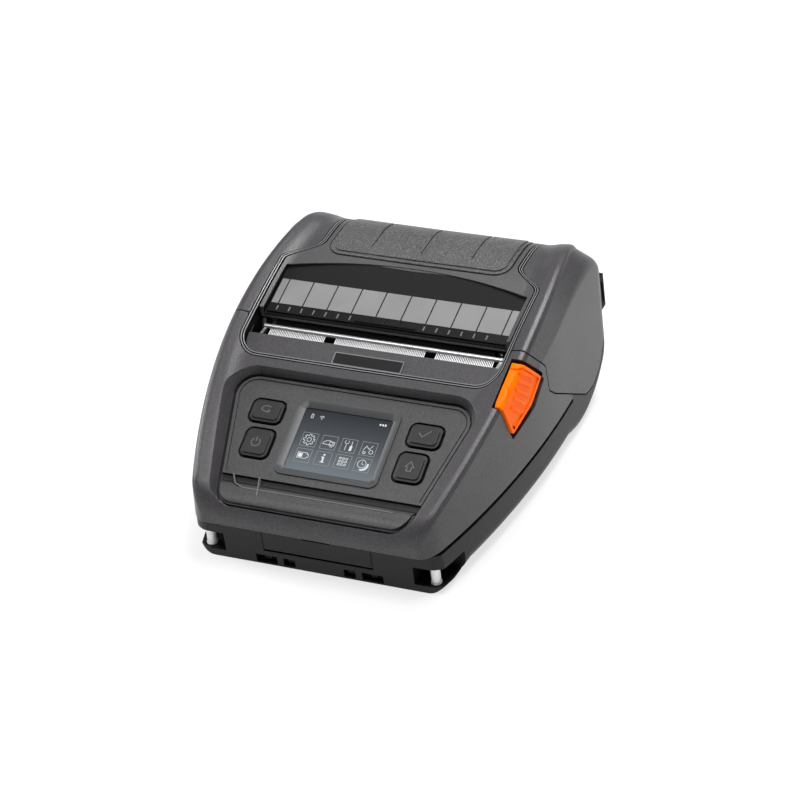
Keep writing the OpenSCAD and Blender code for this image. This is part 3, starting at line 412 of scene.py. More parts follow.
def boolean(a, b, op='DIFFERENCE', keep=False):
    """Changes a by b, with the exact solver where the fast one does nothing."""
    before = mark(a.data)
    for solver in ('MANIFOLD', 'EXACT'):
        mod = a.modifiers.new('b', 'BOOLEAN')
        mod.operation, mod.object, mod.solver = op, b, solver
        mesh = evaluated(a)
        a.modifiers.remove(mod)
        if len(mesh.polygons) > 0 and mark(mesh) != before:
            break
    old = a.data
    a.data = mesh
    bpy.data.meshes.remove(old)
    if not keep:
        remove(b)
    return a


def cut(a, *others):
    for b in others:
        boolean(a, b)
    return a


def meet(a, *others):
    for b in others:
        boolean(a, b, 'INTERSECT')
    return a


def join(a, *others):
    for b in others:
        boolean(a, b, 'UNION')
    return a


def merge(a, b):
    """Puts the mesh of b into a as it is."""
    bm = bmesh.new()
    bm.from_mesh(a.data)
    bm.from_mesh(b.data)
    bm.to_mesh(a.data)
    bm.free()
    remove(b)


def copy_of(ob, name):
    return linked(name, ob.data.copy())


def smooth(ob):
    """Smooth shading, with sharp edges where faces meet at more than 32 degrees."""
    mesh = ob.data
    mesh.polygons.foreach_set('use_smooth', [True] * len(mesh.polygons))
    mesh.set_sharp_from_angle(angle=radians(32))
    mod = ob.modifiers.new('w', 'WEIGHTED_NORMAL')
    mod.keep_sharp, mod.weight = True, 90
    take_modifiers(ob)


def bevel(ob, width=EDGE_ROUND, segments=2, angle=40):
    mod = ob.modifiers.new('v', 'BEVEL')
    mod.width, mod.segments = width * MM, segments
    mod.limit_method, mod.angle_limit = 'ANGLE', radians(angle)
    mod.use_clamp_overlap = True
    take_modifiers(ob)


def finish_piece(ob, body, slot, look, *nodes):
    """Gives a piece its material, its body and the solids that it stands for; slot is not used."""
    smooth(ob)
    ob.data.materials.clear()
    ob.data.materials.append(LOOK[look])
    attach(ob, body)
    if nodes:
        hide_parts(*nodes)
    return ob


def tint(ob, look, test):
    """Gives the faces whose middle passes the test a second material."""
    ob.data.materials.append(LOOK[look])
    for face in ob.data.polygons:
        if test(*(face.center / MM)):
            face.material_index = 1


def inside(outline, y, z):
    hit = False
    for i in range(len(outline)):
        (a, b), (c, d) = outline[i - 1], outline[i]
        if (b > z) != (d > z) and y < (c - a) * (z - b) / (d - b) + a:
            hit = not hit
    return hit


# Materials
def feed(tree, node, inputs):
    """Gives inputs plain values, or links them to the outputs of other nodes."""
    for name, value in inputs.items():
        if isinstance(value, bpy.types.NodeSocket):
            tree.links.new(value, node.inputs[name])
        else:
            node.inputs[name].default_value = value


def add(tree, kind, inputs, **settings):
    node = tree.nodes.new('ShaderNode' + kind)
    for name, value in settings.items():
        setattr(node, name, value)
    feed(tree, node, inputs)
    return node


def new_material(name):
    """A material with its node tree, its shader and the output that gives object coordinates."""
    material = bpy.data.materials.new(name)
    material.use_nodes = True
    tree = material.node_tree
    return material, tree, tree.nodes['Principled BSDF'], add(tree, 'TexCoord', {}).outputs['Object']


def noise(tree, vector, scale, detail=3, rough=0.5):
    inputs = {'Vector': vector, 'Scale': scale, 'Detail': detail, 'Roughness': rough}
    return add(tree, 'TexNoise', inputs).outputs['Fac']


def ramp(tree, source, stops):
    """Turns a value into a colour through stops given as (position, colour)."""
    node = add(tree, 'ValToRGB', {'Fac': source})
    while len(node.color_ramp.elements) < len(stops):
        node.color_ramp.elements.new(0.5)
    for element, (position, color) in zip(node.color_ramp.elements, stops):
        element.position = position
        element.color = (*color, 1)
    return node.outputs['Color']


def mixed(tree, first, second, share, blend='MIX'):
    inputs = {0: share, 6: first, 7: second}
    return add(tree, 'Mix', inputs, data_type='RGBA', blend_type=blend).outputs[2]


def map_range(tree, source, low, high, start=0, end=1):
    inputs = {'Value': source, 'From Min': start, 'From Max': end, 'To Min': low, 'To Max': high}
    return add(tree, 'MapRange', inputs).outputs['Result']


def bumps(tree, source, strength, distance, round_mm=0):
    """The surface with a grain; round_mm also softens the edges in the shading."""
    inputs = {'Strength': strength, 'Distance': distance, 'Height': source}
    if round_mm:
        inputs['Normal'] = add(tree, 'Bevel', {'Radius': round_mm * MM}, samples=4).outputs['Normal']
    return add(tree, 'Bump', inputs).outputs['Normal']


def plastic(name, color, rough, grain, scale=1900, spread=0.12, round_mm=0.4, speck=None, gloss=0.4,
            mottle=0):
    """Plastic with grain and faint blotches; mottle darkens dots, speck is (scale, limit, colour) of light
    specks, which are partly grain and partly painted glints.
    """
    material, tree, shader, coord = new_material(name)
    dark, light = [c * (1 - spread) for c in color], [c * (1 + spread) for c in color]
    tone = ramp(tree, noise(tree, coord, 28, 4, 0.6), [(0.3, dark), (0.7, light)])
    fine = noise(tree, coord, scale, 2, 0.6)
    if mottle:
        dots = ramp(tree, noise(tree, coord, 1300, 2, 0.7), [(0.35, [1 - 2 * mottle] * 3), (0.65, [1] * 3)])
        tone = mixed(tree, tone, dots, 1, 'MULTIPLY')
    # the light specks are partly grain and partly painted glints
    if speck:
        speck_scale, limit, speck_color = speck
        spots = noise(tree, coord, speck_scale, 1, 0.4)
        spots = ramp(tree, spots, [(limit, [0] * 3), (limit + 0.06, [1] * 3)])
        tone = mixed(tree, tone, (*speck_color, 1), spots)
    feed(tree, shader, {'Specular IOR Level': gloss, 'Base Color': tone,
                        'Roughness': map_range(tree, fine, rough - 0.07, rough + 0.07),
                        'Normal': bumps(tree, fine, grain, 0.0002, round_mm)})
    return material


def metal(name, color, rough, brush=(1, 1, 1), shine=1):
    """Metal whose grain is stretched by brush, a scale along x, y and z."""
    material, tree, shader, coord = new_material(name)
    stretched = add(tree, 'Mapping', {'Vector': coord, 'Scale': brush}).outputs['Vector']
    grain = noise(tree, stretched, 900, 4)
    feed(tree, shader, {'Metallic': shine,
                        'Base Color': ramp(tree, grain, [(0.3, [c * 0.86 for c in color]), (0.7, color)]),
                        'Roughness': map_range(tree, grain, rough - 0.06, rough + 0.1),
                        'Normal': bumps(tree, grain, 0.15, 0.00003)})
    return material


def display_glass():
    """Dark glass with a painted reflection and shade: lighter towards its lower edge, darker towards the
    top.
    """
    material, tree, shader, coord = new_material('display_glass')
    y = add(tree, 'SeparateXYZ', {'Vector': coord}).outputs['Y']
    height = map_range(tree, y, 0, 1, (PANEL_Y - 18) * MM, (PANEL_Y + 13) * MM)
    # painted reflection: light at the lower edge, shading to near black at the top
    stops = [(0, (0.12, 0.14, 0.155)), (0.5, (0.05, 0.057, 0.066)), (1, (0.014, 0.015, 0.018))]
    feed(tree, shader, {'Roughness': 0.08, 'Coat Weight': 0.5, 'Coat Roughness': 0.04,
                        'Base Color': ramp(tree, height, stops)})
    return material


def display_ink(name, level):
    material, tree, shader, coord = new_material(name)
    dark, light = (0.9 * level, 0.95 * level, level), (level, 1.05 * level, 1.1 * level)
    tone = ramp(tree, noise(tree, coord, 300), [(0.3, dark), (0.7, light)])
    feed(tree, shader, {'Roughness': 0.4, 'Base Color': tone})
    return material


BRUSHED = (0.05, 1, 1)
LOOK = {
    'shell': plastic('charcoal_plastic', (0.05, 0.047, 0.051), 0.36, 0.5, mottle=0.22),
    # base: the lower case's own colour, and painted shade in the control panel's grooves
    'base': plastic('base_plastic_and_painted_shade', (0.011, 0.0105, 0.0115), 0.42, 0.4, gloss=0.25, mottle=0.2),
    'lid': plastic('lid_plastic', (0.055, 0.055, 0.057), 0.38, 0.4, mottle=0.12),
    'panel': plastic('panel_plastic', (0.047, 0.047, 0.048), 0.38, 0.5, mottle=0.22),
    'seal': plastic('bead_plastic', (0.14, 0.14, 0.143), 0.3, 0.1, round_mm=0),
    'line': plastic('line_plastic', (0.1, 0.1, 0.103), 0.4, 0.05, round_mm=0),
    # black: the peeler strip's own colour, and painted shade where tint puts it in recesses and gaps
    'black': plastic('black_plastic_and_painted_shade', (0.004, 0.004, 0.0044), 0.45, 0.15, gloss=0.12),
    'plate': plastic('plate_plastic', (0.006, 0.006, 0.0065), 0.4, 0.1, gloss=0.2),
    'bezel': plastic('bezel_plastic', (0.042, 0.043, 0.046), 0.38, 0.05, gloss=0.35),
    'key': plastic('key_rubber', (0.0095, 0.0095, 0.01), 0.38, 0.2),
    'icon': plastic('icon_ink', (0.085, 0.085, 0.09), 0.5, 0.05, round_mm=0),
    'inner': plastic('inner_plastic', (0.003, 0.003, 0.0034), 0.6, 0.2, gloss=0.1),
    'tray': plastic('tray_plastic', (0.0065, 0.0065, 0.007), 0.55, 0.2, gloss=0.1),
    'guide': plastic('guide_plastic', (0.16, 0.16, 0.163), 0.42, 0.05, round_mm=0),
    # grip: light specks, partly the rubber's grain and partly painted glints of its sparkle
    'grip': plastic('grip_rubber', (0.034, 0.034, 0.035), 0.4, 1.0, scale=1500, spread=0.2,
                    speck=(2200, 0.54, (0.11, 0.11, 0.112))),
    'orange': plastic('orange_plastic', (1, 0.14, 0.0), 0.3, 0.1, spread=0.03, gloss=0.05),
    'rubber': plastic('roller_rubber', [0.005] * 3, 0.7, 0.3, gloss=0.1),
    'board': plastic('board_mask', (0.02, 0.13, 0.055), 0.35, 0.1, round_mm=0),
    'ceramic': plastic('head_ceramic', (0.25, 0.22, 0.17), 0.3, 0.05),
    'gear': plastic('gear_plastic', (0.02, 0.02, 0.021), 0.45, 0.1, round_mm=0),
    'motor': plastic('motor_paint', (0.06, 0.06, 0.065), 0.35, 0.1),
    'steel': metal('bright_steel', (0.62, 0.62, 0.63), 0.3, BRUSHED),
    'rod': metal('rod_steel', (0.62, 0.62, 0.63), 0.3, BRUSHED),
    'pin': metal('pin_steel', (0.9, 0.9, 0.91), 0.5, shine=0.25),
    'tear': metal('tear_steel', (0.78, 0.78, 0.79), 0.45, BRUSHED, shine=0.35),
    'alu': metal('sink_aluminium', (0.2, 0.2, 0.21), 0.42, BRUSHED),
    'brass': metal('bush_bronze', (0.3, 0.2, 0.09), 0.4),
    'gold': metal('contact_plating', (0.03, 0.026, 0.016), 0.4),
    'glass': display_glass(),
    'ink': display_ink('display_ink', 0.5),
    'ink_dim': display_ink('display_ink_dim', 0.16),
}
SLOT_LOOK = {'charcoal_shell': 'shell', 'display': 'glass', 'bright_steel': 'steel', 'keys': 'key',
             'frame_plastic': 'inner', 'guide_grey': 'guide', 'aluminium': 'alu', 'motor_case': 'motor',
             'gear_plastic': 'gear', 'bronze': 'brass', 'contacts': 'gold', 'roller_rubber': 'rubber'}
NODE_LOOK = {'tear_bar': 'tear', 'exit_rod': 'rod', 'strap_pins': 'pin', 'port_flap': 'base',
             'mouth_tray': 'tray', 'name_plate': 'plate'}


def dress_solids():
    """Gives each solid a material by its own name, or else by its slot, which may be named like it."""
    for subpart in frame["record"]["subparts"]:
        look = SLOT_LOOK.get(subpart["material_slot"], subpart["material_slot"])
        look = NODE_LOOK.get(subpart["node"], look)
        for slot in frame["nodes"][subpart["node"]].material_slots:
            slot.material = LOOK[look]


# Outlines that several pieces share
def mitres(points, closed, limit):
    """For each point the step that moves both its edges by one to the right."""
    n = len(points)
    out = []
    for i, p in enumerate(points):
        a = points[i - 1] if (i > 0 or closed) else p
        b = points[(i + 1) % n] if (i < n - 1 or closed) else p
        e1 = Vector((p[0] - a[0], p[1] - a[1]))
        e2 = Vector((b[0] - p[0], b[1] - p[1]))
        if min(e1.length, e2.length) < 1e-6:
            e1 = e2 = e1 if e1.length > e2.length else e2
        right = Vector((e1.y, -e1.x)).normalized()
        k = right + Vector((e2.y, -e2.x)).normalized()
        out.append(k / max(limit, k.dot(right)))
    return out


def offset(outline, d):
    """Moves each edge of an outline outwards by d (inwards where d is negative)."""
    area = sum(a[0] * b[1] - b[0] * a[1] for a, b in zip(outline[-1:] + outline, outline))
    out = d if area > 0 else -d
    return [(x + k.x * out, y + k.y * out) for (x, y), k in zip(outline, mitres(outline, True, 0.3))]


def mirrored(points):
    return [(-x, y) for x, y in reversed(points)]


def span(side, a, b):
    """The stretch from a to b on the right (1), or its mirror image on the left (-1)."""
    return sorted((side * a, side * b))


def lid_edge(grow, n=28):
    """The lid's right side edge along its S bend."""
    bend = LID_HALF - LID_REAR
    return [(LID_REAR + grow + bend * (1 + cos(pi * k / n)) / 2, BEND_START + BEND_LEN * k / n)
            for k in range(n + 1)]


def lid_sides(grow):
    """Along the right S bend, behind the body and back along the left S bend."""
    edge = lid_edge(grow)
    return edge + [(LID_REAR + grow, 97), (-LID_REAR - grow, 97)] + mirrored(edge)


def mouth_plan(grow=0):
    half, front = LID_HALF + grow, MOUTH_FRONT - grow
    return fillet([(half, MOUTH_BACK, 0), (half, front, MOUTH_R + grow), (-half, front, MOUTH_R + grow),
                   (-half, MOUTH_BACK, 0)], 12)


def ring_plan(grow):
    """The outline of lid and mouth together."""
    return lid_sides(grow) + mouth_plan(grow)[::-1]


def frame_profile():
    """Side view of the space under the shoulder covers and inside the bead."""
    crown = [(y, ridge_z(y) - BEAD_H - 2.4) for y in range(13, 61, 5)]
    return ([(-4, 21), (-4, 53.3), (1, 65.3)] + crown
            + [(73, 71.2), (79, 60.2), (81, 48), (81, 10), (45, 9)])


def panel_outline(grow=0):
    return offset(fillet([(57, 24, 9), (-57, 24, 9), (-43.5, -40, 8), (43.5, -40, 8)], 12), grow)


def screen_outline(grow, r):
    """The display window, larger by grow in width and length."""
    return rrect(0, LCD_U, LCD_W + grow, LCD_L + grow, r)


# A shoulder cover, the latch pocket and the button's face from the side, and the grip pad from above
COVER = fillet([(SEAM_Y, 100, 0), (SEAM_Y, 69.7, 2), (10, 56.2, 4), (11.5, 42.2, 4), (17, 37, 2),
                (50, 13.5, 8), (59, 12, 5), (69, 16, 8), (79, 30, 6), (80, 40, 0), (97, 40, 0),
                (97, 100, 0)])
LATCH = fillet([(-30.5, 61.6, 1), (-14, 70.7, 2), (-7, 70.4, 2), (6.5, 54.7, 1), (-4.5, 47.2, 1),
                (-25, 44.2, 1)], 6)
FACE = fillet([(-30.2, 61.4, 1), (-14.5, 70.3, 2), (-8.5, 69.6, 2.5), (3.2, 55.6, 1), (-7.5, 48.3, 1),
               (-25, 44.4, 1)], 6)
PAD = fillet([(PAD_HALF, PAD_Y + PAD_LEN, 2), (-PAD_HALF, PAD_Y + PAD_LEN, 2), (-PAD_HALF, PAD_Y, 7),
              (PAD_HALF, PAD_Y, 7)], 12)


def upper_housing(form):
    shell = copy_of(form, 'housing_shell')
    meet(shell, across(rect(-100, BELLY_Y, PART_Z + PART_GAP, 110), -BIG, BIG))
    cut(shell, across(offset(COVER, SEAM), -BIG, BIG))
    cut(shell, across(rect(-2.6, 80, 0, TALL), -HOLLOW_X, HOLLOW_X))
    under_mouth = [(-30, 0), (-30, 48.6), (-21, 53), (-8, 57.6), (-1, 57.6), (-1, 0)]
    cut(shell, across(under_mouth, -HOLLOW_X, HOLLOW_X))
    cut_mouth(shell)
    cut_panel_seat(shell)
    cut(shell, across(offset(LATCH, 0.4), 64.2, 90))
    cut(shell, across([(y + 1, z - 3.2) for y, z in offset(LATCH, 0.2)], 67, 90))
    bevel(shell)
    finish_piece(shell, 'case', 'charcoal_shell', 'shell', 'upper_housing')
    # painted shade: the faces deep in the mouth and in the latch pocket are made black
    tint(shell, 'black', in_mouth_or_pocket)


def cut_mouth(shell):
    """The front part of the mouth, and the gap for the bead round it."""
    mouth = upright(mouth_plan(SEAM + 0.35))
    meet(mouth, block(-90, 90, -20, 100, 1.1, 61, on_panel))
    half = LID_HALF + SEAM
    cut(shell, mouth, block(-half, half, FLOOR_EDGE, 29, LEDGE, BIG))
    ring = upright(mouth_plan(BEAD_ROOM))
    meet(ring, block(-90, 90, -20, 100, BEAD_LOW, BEAD_TOP, on_panel))
    cut(ring, upright(mouth_plan(), 1))
    cut(shell, ring)


def cut_panel_seat(shell):
    """The panel's seat, opening and flared rim, and the space for the boards."""
    cut(shell, prism(panel_outline(1.0), -PANEL_T, 1.4, on_panel))
    cut(shell, prism(panel_outline(-3.2), -14, 16, on_panel))
    flare = ((1.1, 0.9), (1.8, 2.6), (3.6, 5.5), (6.5, 9))
    cut(shell, stack([(panel_outline(grow), height) for grow, height in flare], on_panel))
    side = [(ridge_x(y) - 4.2, y) for y in range(-79, 12, 6)]
    bay = prism(side + mirrored(side), 16, 76)
    meet(bay, block(-90, 90, -80, 28, -45, -5, on_panel))
    cut(shell, bay)


def in_mouth_or_pocket(x, y, z):
    """Where the upper housing is painted black as shade: deep in the mouth and in the latch's pocket."""
    in_mouth = abs(x) < 62.9 and -8.2 < y < 29.5 and z < ridge_z(y) - DIP - 1.2
    return in_mouth or (63.9 < x < 68.3 and z < ridge_z(y) - 3.2 and inside(offset(LATCH, 0.9), y, z))


def shoulder_cover(form, side, name):
    cover = copy_of(form, name + '_shoulder')
    meet(cover, across(offset(COVER, -SEAM), *span(side, 0, BIG)))
    cut(cover, upright(ring_plan(BEAD_ROOM)))
    cut(cover, across(frame_profile(), -68.4, 68.4))
    if side > 0:
        cut(cover, across(offset(LATCH, 0.6), 60, 90))
    bevel(cover)
    finish_piece(cover, 'case', 'charcoal_shell', 'shell', name + '_shoulder_cover')


def seal_bead(form):
    """The bead round lid and mouth, with two fine ridges."""
    bead = copy_of(form, 'bead_ring')
    ring = upright(ring_plan(BEAD_OUT))
    cut(ring, upright(ring_plan(BEAD_IN), 1))
    groove = upright(ring_plan(BEAD_GROOVE_OUT), 1)
    cut(groove, upright(ring_plan(BEAD_GROOVE_IN), 2))
    cut(ring, groove)
    meet(bead, ring)
    keep = block(-90, 90, 0, 64, BEAD_LOW, BEAD_TOP, on_panel)
    join(keep, block(-90, 90, SEAM_Y - 1, 96, BELLY_Z + SEAM, BIG))
    meet(bead, keep)
    cut(bead, across(frame_profile(), -90, 90))
    bevel(bead, 0.12, 2, 50)
    finish_piece(bead, 'case', 'seal', 'seal', 'seal_bead')
    # painted shade: the bead's faces more than 0.9 mm below the top face, down in the gap, are black
    tint(bead, 'black', lambda x, y, z: z < top_z(abs(x), y) - 0.9)


def lower_case(form):
    case = copy_of(form, 'base_shell')
    meet(case, case_space())
    wide = wall_x(-53) + 0.6
    meet(case, prism(fillet([(90, -53, 0), (wide, -53, 0), (58.6, -84, 9), (-58.6, -84, 9), (-wide, -53, 0),
                             (-90, -53, 0), (-90, 97, 0), (90, 97, 0)], 12), -5, 55))
    barrel = at_hinge(KNUCKLE, -BARREL_HALF, BARREL_HALF)
    join(barrel, block(-BARREL_HALF, BARREL_HALF, HINGE_Y - 1.5, HINGE_Y + 3, BELLY_Z - 3, HINGE_Z))
    cut(case, roll_chamber(CHAMBER_X))
    cut(case, block(-BIG, BIG, BELLY_Y - 5, HINGE_Y - 1.5, BELLY_Z - SEAM / 2, BIG))
    cut_bays(case)
    cut_front(case)
    join(case, barrel)
    cut(case, at_hinge(HINGE_PIN_R, -BARREL_HALF - 1, BARREL_HALF + 1))
    for x in (-46, 46):
        for y in (-55, -4):
            cut(case, prism(circle(x, y, 2.8, 32), -1, 4.4))
    bevel(case)
    finish_piece(case, 'case', 'charcoal_shell', 'base', 'lower_case')


def case_space():
    """What lies below the parting line in front, and below the chamber's middle at the back."""
    space = across(rect(-99, 49, -5, PART_Z - PART_GAP), -100, 100)
    join(space, block(-100, 100, 35, 105, -5, BELLY_Z - SEAM / 2))
    return cut(space, across(offset(COVER, SEAM), -101, 101))


def cut_bays(case):
    """Space for the boards, battery bay, opening of the port flap with its notch, and the ports' space."""
    cut(case, block(-55, 55, -63, -2, 19, 22), block(-51, 51, -63, -2, 5.6, 21))
    cut(case, block(-40, 40, -79.6, -62, 5.6, 22))
    cut(case, block(-39.3, 39.3, -64, -11, -1, 21))
    cut(case, block(-25.8, 25.8, -89, -81.9, 7.3, 18.9), block(-5, 5, -89, -81.9, 18.6, 20))
    cut(case, block(-20, 20, -84, -63, 9.6, 17.6))


def cut_front(case):
    """On each side the corner opening, the slots of the contacts and the lid knuckle's space."""
    for side in (-1, 1):
        cut(case, block(*span(side, 44.5, 100), -94, -68, OPEN_LOW, OPEN_TOP))
        for a, b in ((20, 30), (11.5, 17)):
            cut(case, block(*span(side, a, b), -89, -81, 0.8, 4.8))
        cut(case, at_hinge(KNUCKLE + KNUCKLE_PLAY, *span(side, BARREL_HALF, LID_REAR + SEAM)))


def lid_shell(form):
    """Makes the lid, and returns the liner from which the mouth's tray is made."""
    lid = copy_of(form, 'lid_form')
    front = [(LID_HALF - LID_PLAY, LID_FRONT)]
    meet(lid, upright(front + lid_sides(-LID_PLAY) + mirrored(front)))
    liner = meet(mouth_space(TRAY_T, TRAY_T), loft('sunk', -0.55))
    liner.name = 'mouth_liner'
    boolean(lid, liner, keep=True)
    cut(lid, mouth_space(0, 0))
    cut(lid, block(-100, 100, -40, 20, -62, -2, on_floor))
    cut(lid, block(-100, 100, -BIG, BIG, -1, HINGE_Z + KNUCKLE + 1.4), roll_chamber(90))
    cut(lid, swing_room(-1), swing_room(1))
    join(lid, lid_knuckle(-1), lid_knuckle(1))
    cut(lid, at_hinge(KNUCKLE + KNUCKLE_PLAY, -BARREL_HALF - SEAM, BARREL_HALF + SEAM))
    cut(lid, at_hinge(HINGE_PIN_R + PIN_PLAY, -90, 90))
    cut(lid, pad_groove())
    bevel(lid)
    finish_piece(lid, 'lid', 'charcoal_shell', 'lid', 'lid_shell')
    # painted shade: the lid's inner side walls beside the mouth are black
    tint(lid, 'black', lambda x, y, z: abs(x) > 57.6 and y < 29 and 55 < z < top_z(abs(x), y) - 0.35)
    return liner


def mouth_space(drop, back):
    """The space over the mouth's upper floor and in front of the bowed lip, larger by drop and back."""
    room = block(-58, 58, -11, 54, -20, 140)
    meet(room, prism(circle(0, LIP_Y + back - BOW_R, BOW_R, 720), -30, 150))
    return meet(room, block(-100, 100, -60, 140, -drop, 60, on_floor))


def swing_room(side):
    """The space in which the shoulder would stop the lid's S bend as it swings."""
    def radius(x, y):
        return hypot(y + 0.5 * SEAM - HINGE_Y, top_z(x, y + SEAM) - HINGE_Z) + 0.25

    bend = [(radius(x, y), side * x) for x, y in reversed(lid_edge(0, 8))]
    outside = side * (LID_HALF + 4)
    far = [(radius(LID_HALF, BEND_START), outside), (0.5, outside)]
    return lathe_x([(0.5, side * LID_REAR)] + bend + far)


def lid_knuckle(side):
    x0, x1 = span(side, BARREL_HALF + SEAM, LID_REAR)
    return join(at_hinge(KNUCKLE, x0, x1), block(x0, x1, HINGE_Y - 3, HINGE_Y + 2, HINGE_Z, HINGE_Z + 8))


def pad_groove():
    """The fine groove round the grip pad."""
    groove = upright(offset(PAD, 0.7), 0, PAD_LOW)
    cut(groove, upright(offset(PAD, 0.05), 1, PAD_LOW))
    return cut(groove, loft('low', -0.9))


def mouth_tray(liner):
    tray = meet(liner, block(-60, 60, 4, 64, 0, TALL))
    cut(tray, mouth_space(0, 0))
    bevel(tray, 0.15, 1)
    finish_piece(tray, 'lid', 'frame_plastic', 'tray', 'mouth_tray')


def guide_plate():
    plate = block(-PLATE_HALF, PLATE_HALF, 0, 14.4, 0, 0.7, on_floor, 'guide_face')
    for k in range(10):
        x = (k - 4.5) * GUIDE_PITCH
        cut(plate, block(x - 0.26, x + 0.26, -1, 16, 0.2, 2, on_floor))
    bevel(plate, 0.1, 1)
    finish_piece(plate, 'lid', 'guide_grey', 'guide', 'guide_plate')
    # painted shade: the walls of the guide plate's grooves are black
    tint(plate, 'black', in_guide_groove)


def in_guide_groove(x, y, z):
    place = x / GUIDE_PITCH + 4.5
    near = abs(place - round(place)) * GUIDE_PITCH < 0.3
    return near and abs(x) < 54 and 0.15 < above_floor(x, y, z) < 0.6


def peeler_strip():
    """The strip below the guide plate, with its ticks and the raised middle."""
    mid_half = 14.5
    strip = block(-PLATE_HALF, PLATE_HALF, -5.2, -0.2, 0, 1, on_floor, 'peeler_face')
    for k in range(18):
        x = -52.5 + 5.9 * k
        if abs(x) > mid_half:
            join(strip, block(x - 0.35, x + 0.35, -4.4, -1.8, 0.9, 1.4, on_floor))
    middle = block(-mid_half, mid_half, -4.6, -1.4, 0.9, 1.7, on_floor)
    for x in (-mid_half / 2, 0, mid_half / 2):
        cut(middle, block(x - 0.25, x + 0.25, -5, 0, 1.2, 3, on_floor))
    join(strip, middle)
    bevel(strip, 0.2)
    finish_piece(strip, 'lid', 'frame_plastic', 'black', 'peeler_strip')
    tint(strip, 'icon', lambda x, y, z: above_floor(x, y, z) > 1.15 and abs(x) > 15)


def tear_strip():
    strip = block(-TEAR_HALF, TEAR_HALF, -7.9, -3.7, 60.6, 61.4, name='tear_comb')
    for side in (-1, 1):
        cut(strip, prism(circle(side * ROD_FOOT_X, ROD_FOOT_Y, 2.2, 32), 59, 63))
    merge(strip, teeth())
    finish_piece(strip, 'case', 'bright_steel', 'tear', 'tear_bar')


def teeth():
    """The teeth in one mesh: each rises from the strip towards the rod and gets narrower."""
    sides = ((0, 1, 5, 4), (1, 2, 6, 5), (2, 3, 7, 6), (3, 0, 4, 7), (3, 2, 1, 0), (4, 5, 6, 7))
    verts, faces = [], []
    for k in range(TOOTH_COUNT):
        x = TOOTH_PITCH * (k + 1) - TEAR_HALF
        if abs(abs(x) - ROD_FOOT_X) < 2.3:
            continue
        faces += [tuple(len(verts) + i for i in side) for side in sides]
        for half, low, high in ((0.24, (-4.1, 60.8), (-3.9, 61.3)), (0.1, (-0.5, 62.1), (-0.4, 62.6))):
            verts += [(x - half, *low), (x + half, *low), (x + half, *high), (x - half, *high)]
    return new_object('teeth', verts, faces)


def strap_pin(side):
    pin = prism(circle(side * STRAP_X, STRAP_Y, STRAP_R, 40), OPEN_LOW, OPEN_TOP, name='strap_bars')
    for z in (OPEN_LOW, OPEN_TOP - COLLAR_H):
        join(pin, prism(circle(side * STRAP_X, STRAP_Y, COLLAR_R, 40), z, z + COLLAR_H))
    return pin


def strap_pins():
    pins = join(strap_pin(-1), strap_pin(1))
    bevel(pins, 0.15)
    finish_piece(pins, 'case', 'bright_steel', 'pin', 'strap_pins')


def grip_pad():
    """A thin rim, and a cushion in it with three slits."""
    low = loft('low')
    pad = meet(loft('grip_face', 0.3), upright(PAD, 0, PAD_LOW))
    pillow = meet(loft('pillow', 0.9), upright(offset(PAD, -1.9), 0, PAD_LOW))
    for x in (-23.5, 0.5, 24.5):
        cut(pillow, block(x - 0.45, x + 0.45, PAD_Y + 7, PAD_Y + 40, PAD_LOW, TALL))
    boolean(pillow, low, keep=True)
    cut(pad, low)
    join(pad, pillow)
    bevel(pad, 0.4, 3, 35)
    finish_piece(pad, 'lid', 'grip', 'grip', 'lid_grip_pad')


def right_half():
    return block(0, 120, -120, 120, -20, 140)


def grip_bar(k):
    """One of the slanting grips, counted from the middle one."""
    y, z = -13.4 + 2.9 * k, 58.2 + 2.6 * k
    return across([(y - 4.4, z + 3.7), (y - 3.4, z + 4.8), (y + 4.4, z - 3.1), (y + 3.4, z - 4.2)], 66, 80)


def release_button():
    """The button with its dished face, five grips and stem."""
    button = meet(loft('release_face', 0.5, 1), right_half(), across(FACE, 65.4, 80))
    cut(button, cut(across(offset(FACE, -1.5), 60, 80), loft('dish', 0.2, 0.35)))
    ribs = meet(loft('ribs', 0.85, 0.95), right_half())
    join(button, meet(ribs, join(*[grip_bar(k) for k in (-2, -1, 0, 1, 2)])))
    join(button, along_x(-12, 59.4, 1.2, 54, 66.5))
    bevel(button, 0.3, 3)
    finish_piece(button, 'release_button', 'orange', 'orange', 'latch_button')


def control_panel():
    """The panel with its rolled lower edge, a groove darkened with painted shade and a fine line inside its
    edge.
    """
    panel = prism(panel_outline(), -PANEL_T, 0, on_panel, 'panel_insert')
    cut(panel, block(-60, 60, -30.6, -25.4, -1.4, 2, on_panel))
    roll = prism(circle(-35.6, -8, 10, 128), -60, 60, across_panel)
    join(panel, meet(roll, prism(panel_outline(-0.8), -PANEL_T, 7.8, on_panel)))
    cut(panel, prism(screen_outline(7.2, 4), -9, 21, on_panel))
    for x, u, w, l in KEYS.values():
        cut(panel, prism(rrect(x, u, w + KEY_GAP, l + KEY_GAP, 3.7), -9, 21, on_panel))
    bevel(panel, 0.4, 3)
    line = prism(panel_outline(-1.3), -0.35, 5, on_panel)
    cut(line, prism(panel_outline(-1.75), -1, 6, on_panel), block(-90, 90, -90, -24, -1, 6, on_panel))
    cut(panel, line)
    finish_piece(panel, 'case', 'panel', 'panel', 'control_panel')
    # painted shade: the groove's faces and the fine groove inside the edge get the lower case's dark colour
    tint(panel, 'base', in_panel_groove)


# Faces painted dark as shade: in the groove across the lower part, and from 0.15 to 0.6 mm below the face,
# chiefly the fine groove inside the edge.
def in_panel_groove(x, y, z):
    point = panel_point(x, y, z)
    return (-31 < point.y < -25.2 and point.z < -0.15) or (point.y > -25 and -0.6 < point.z < -0.15)


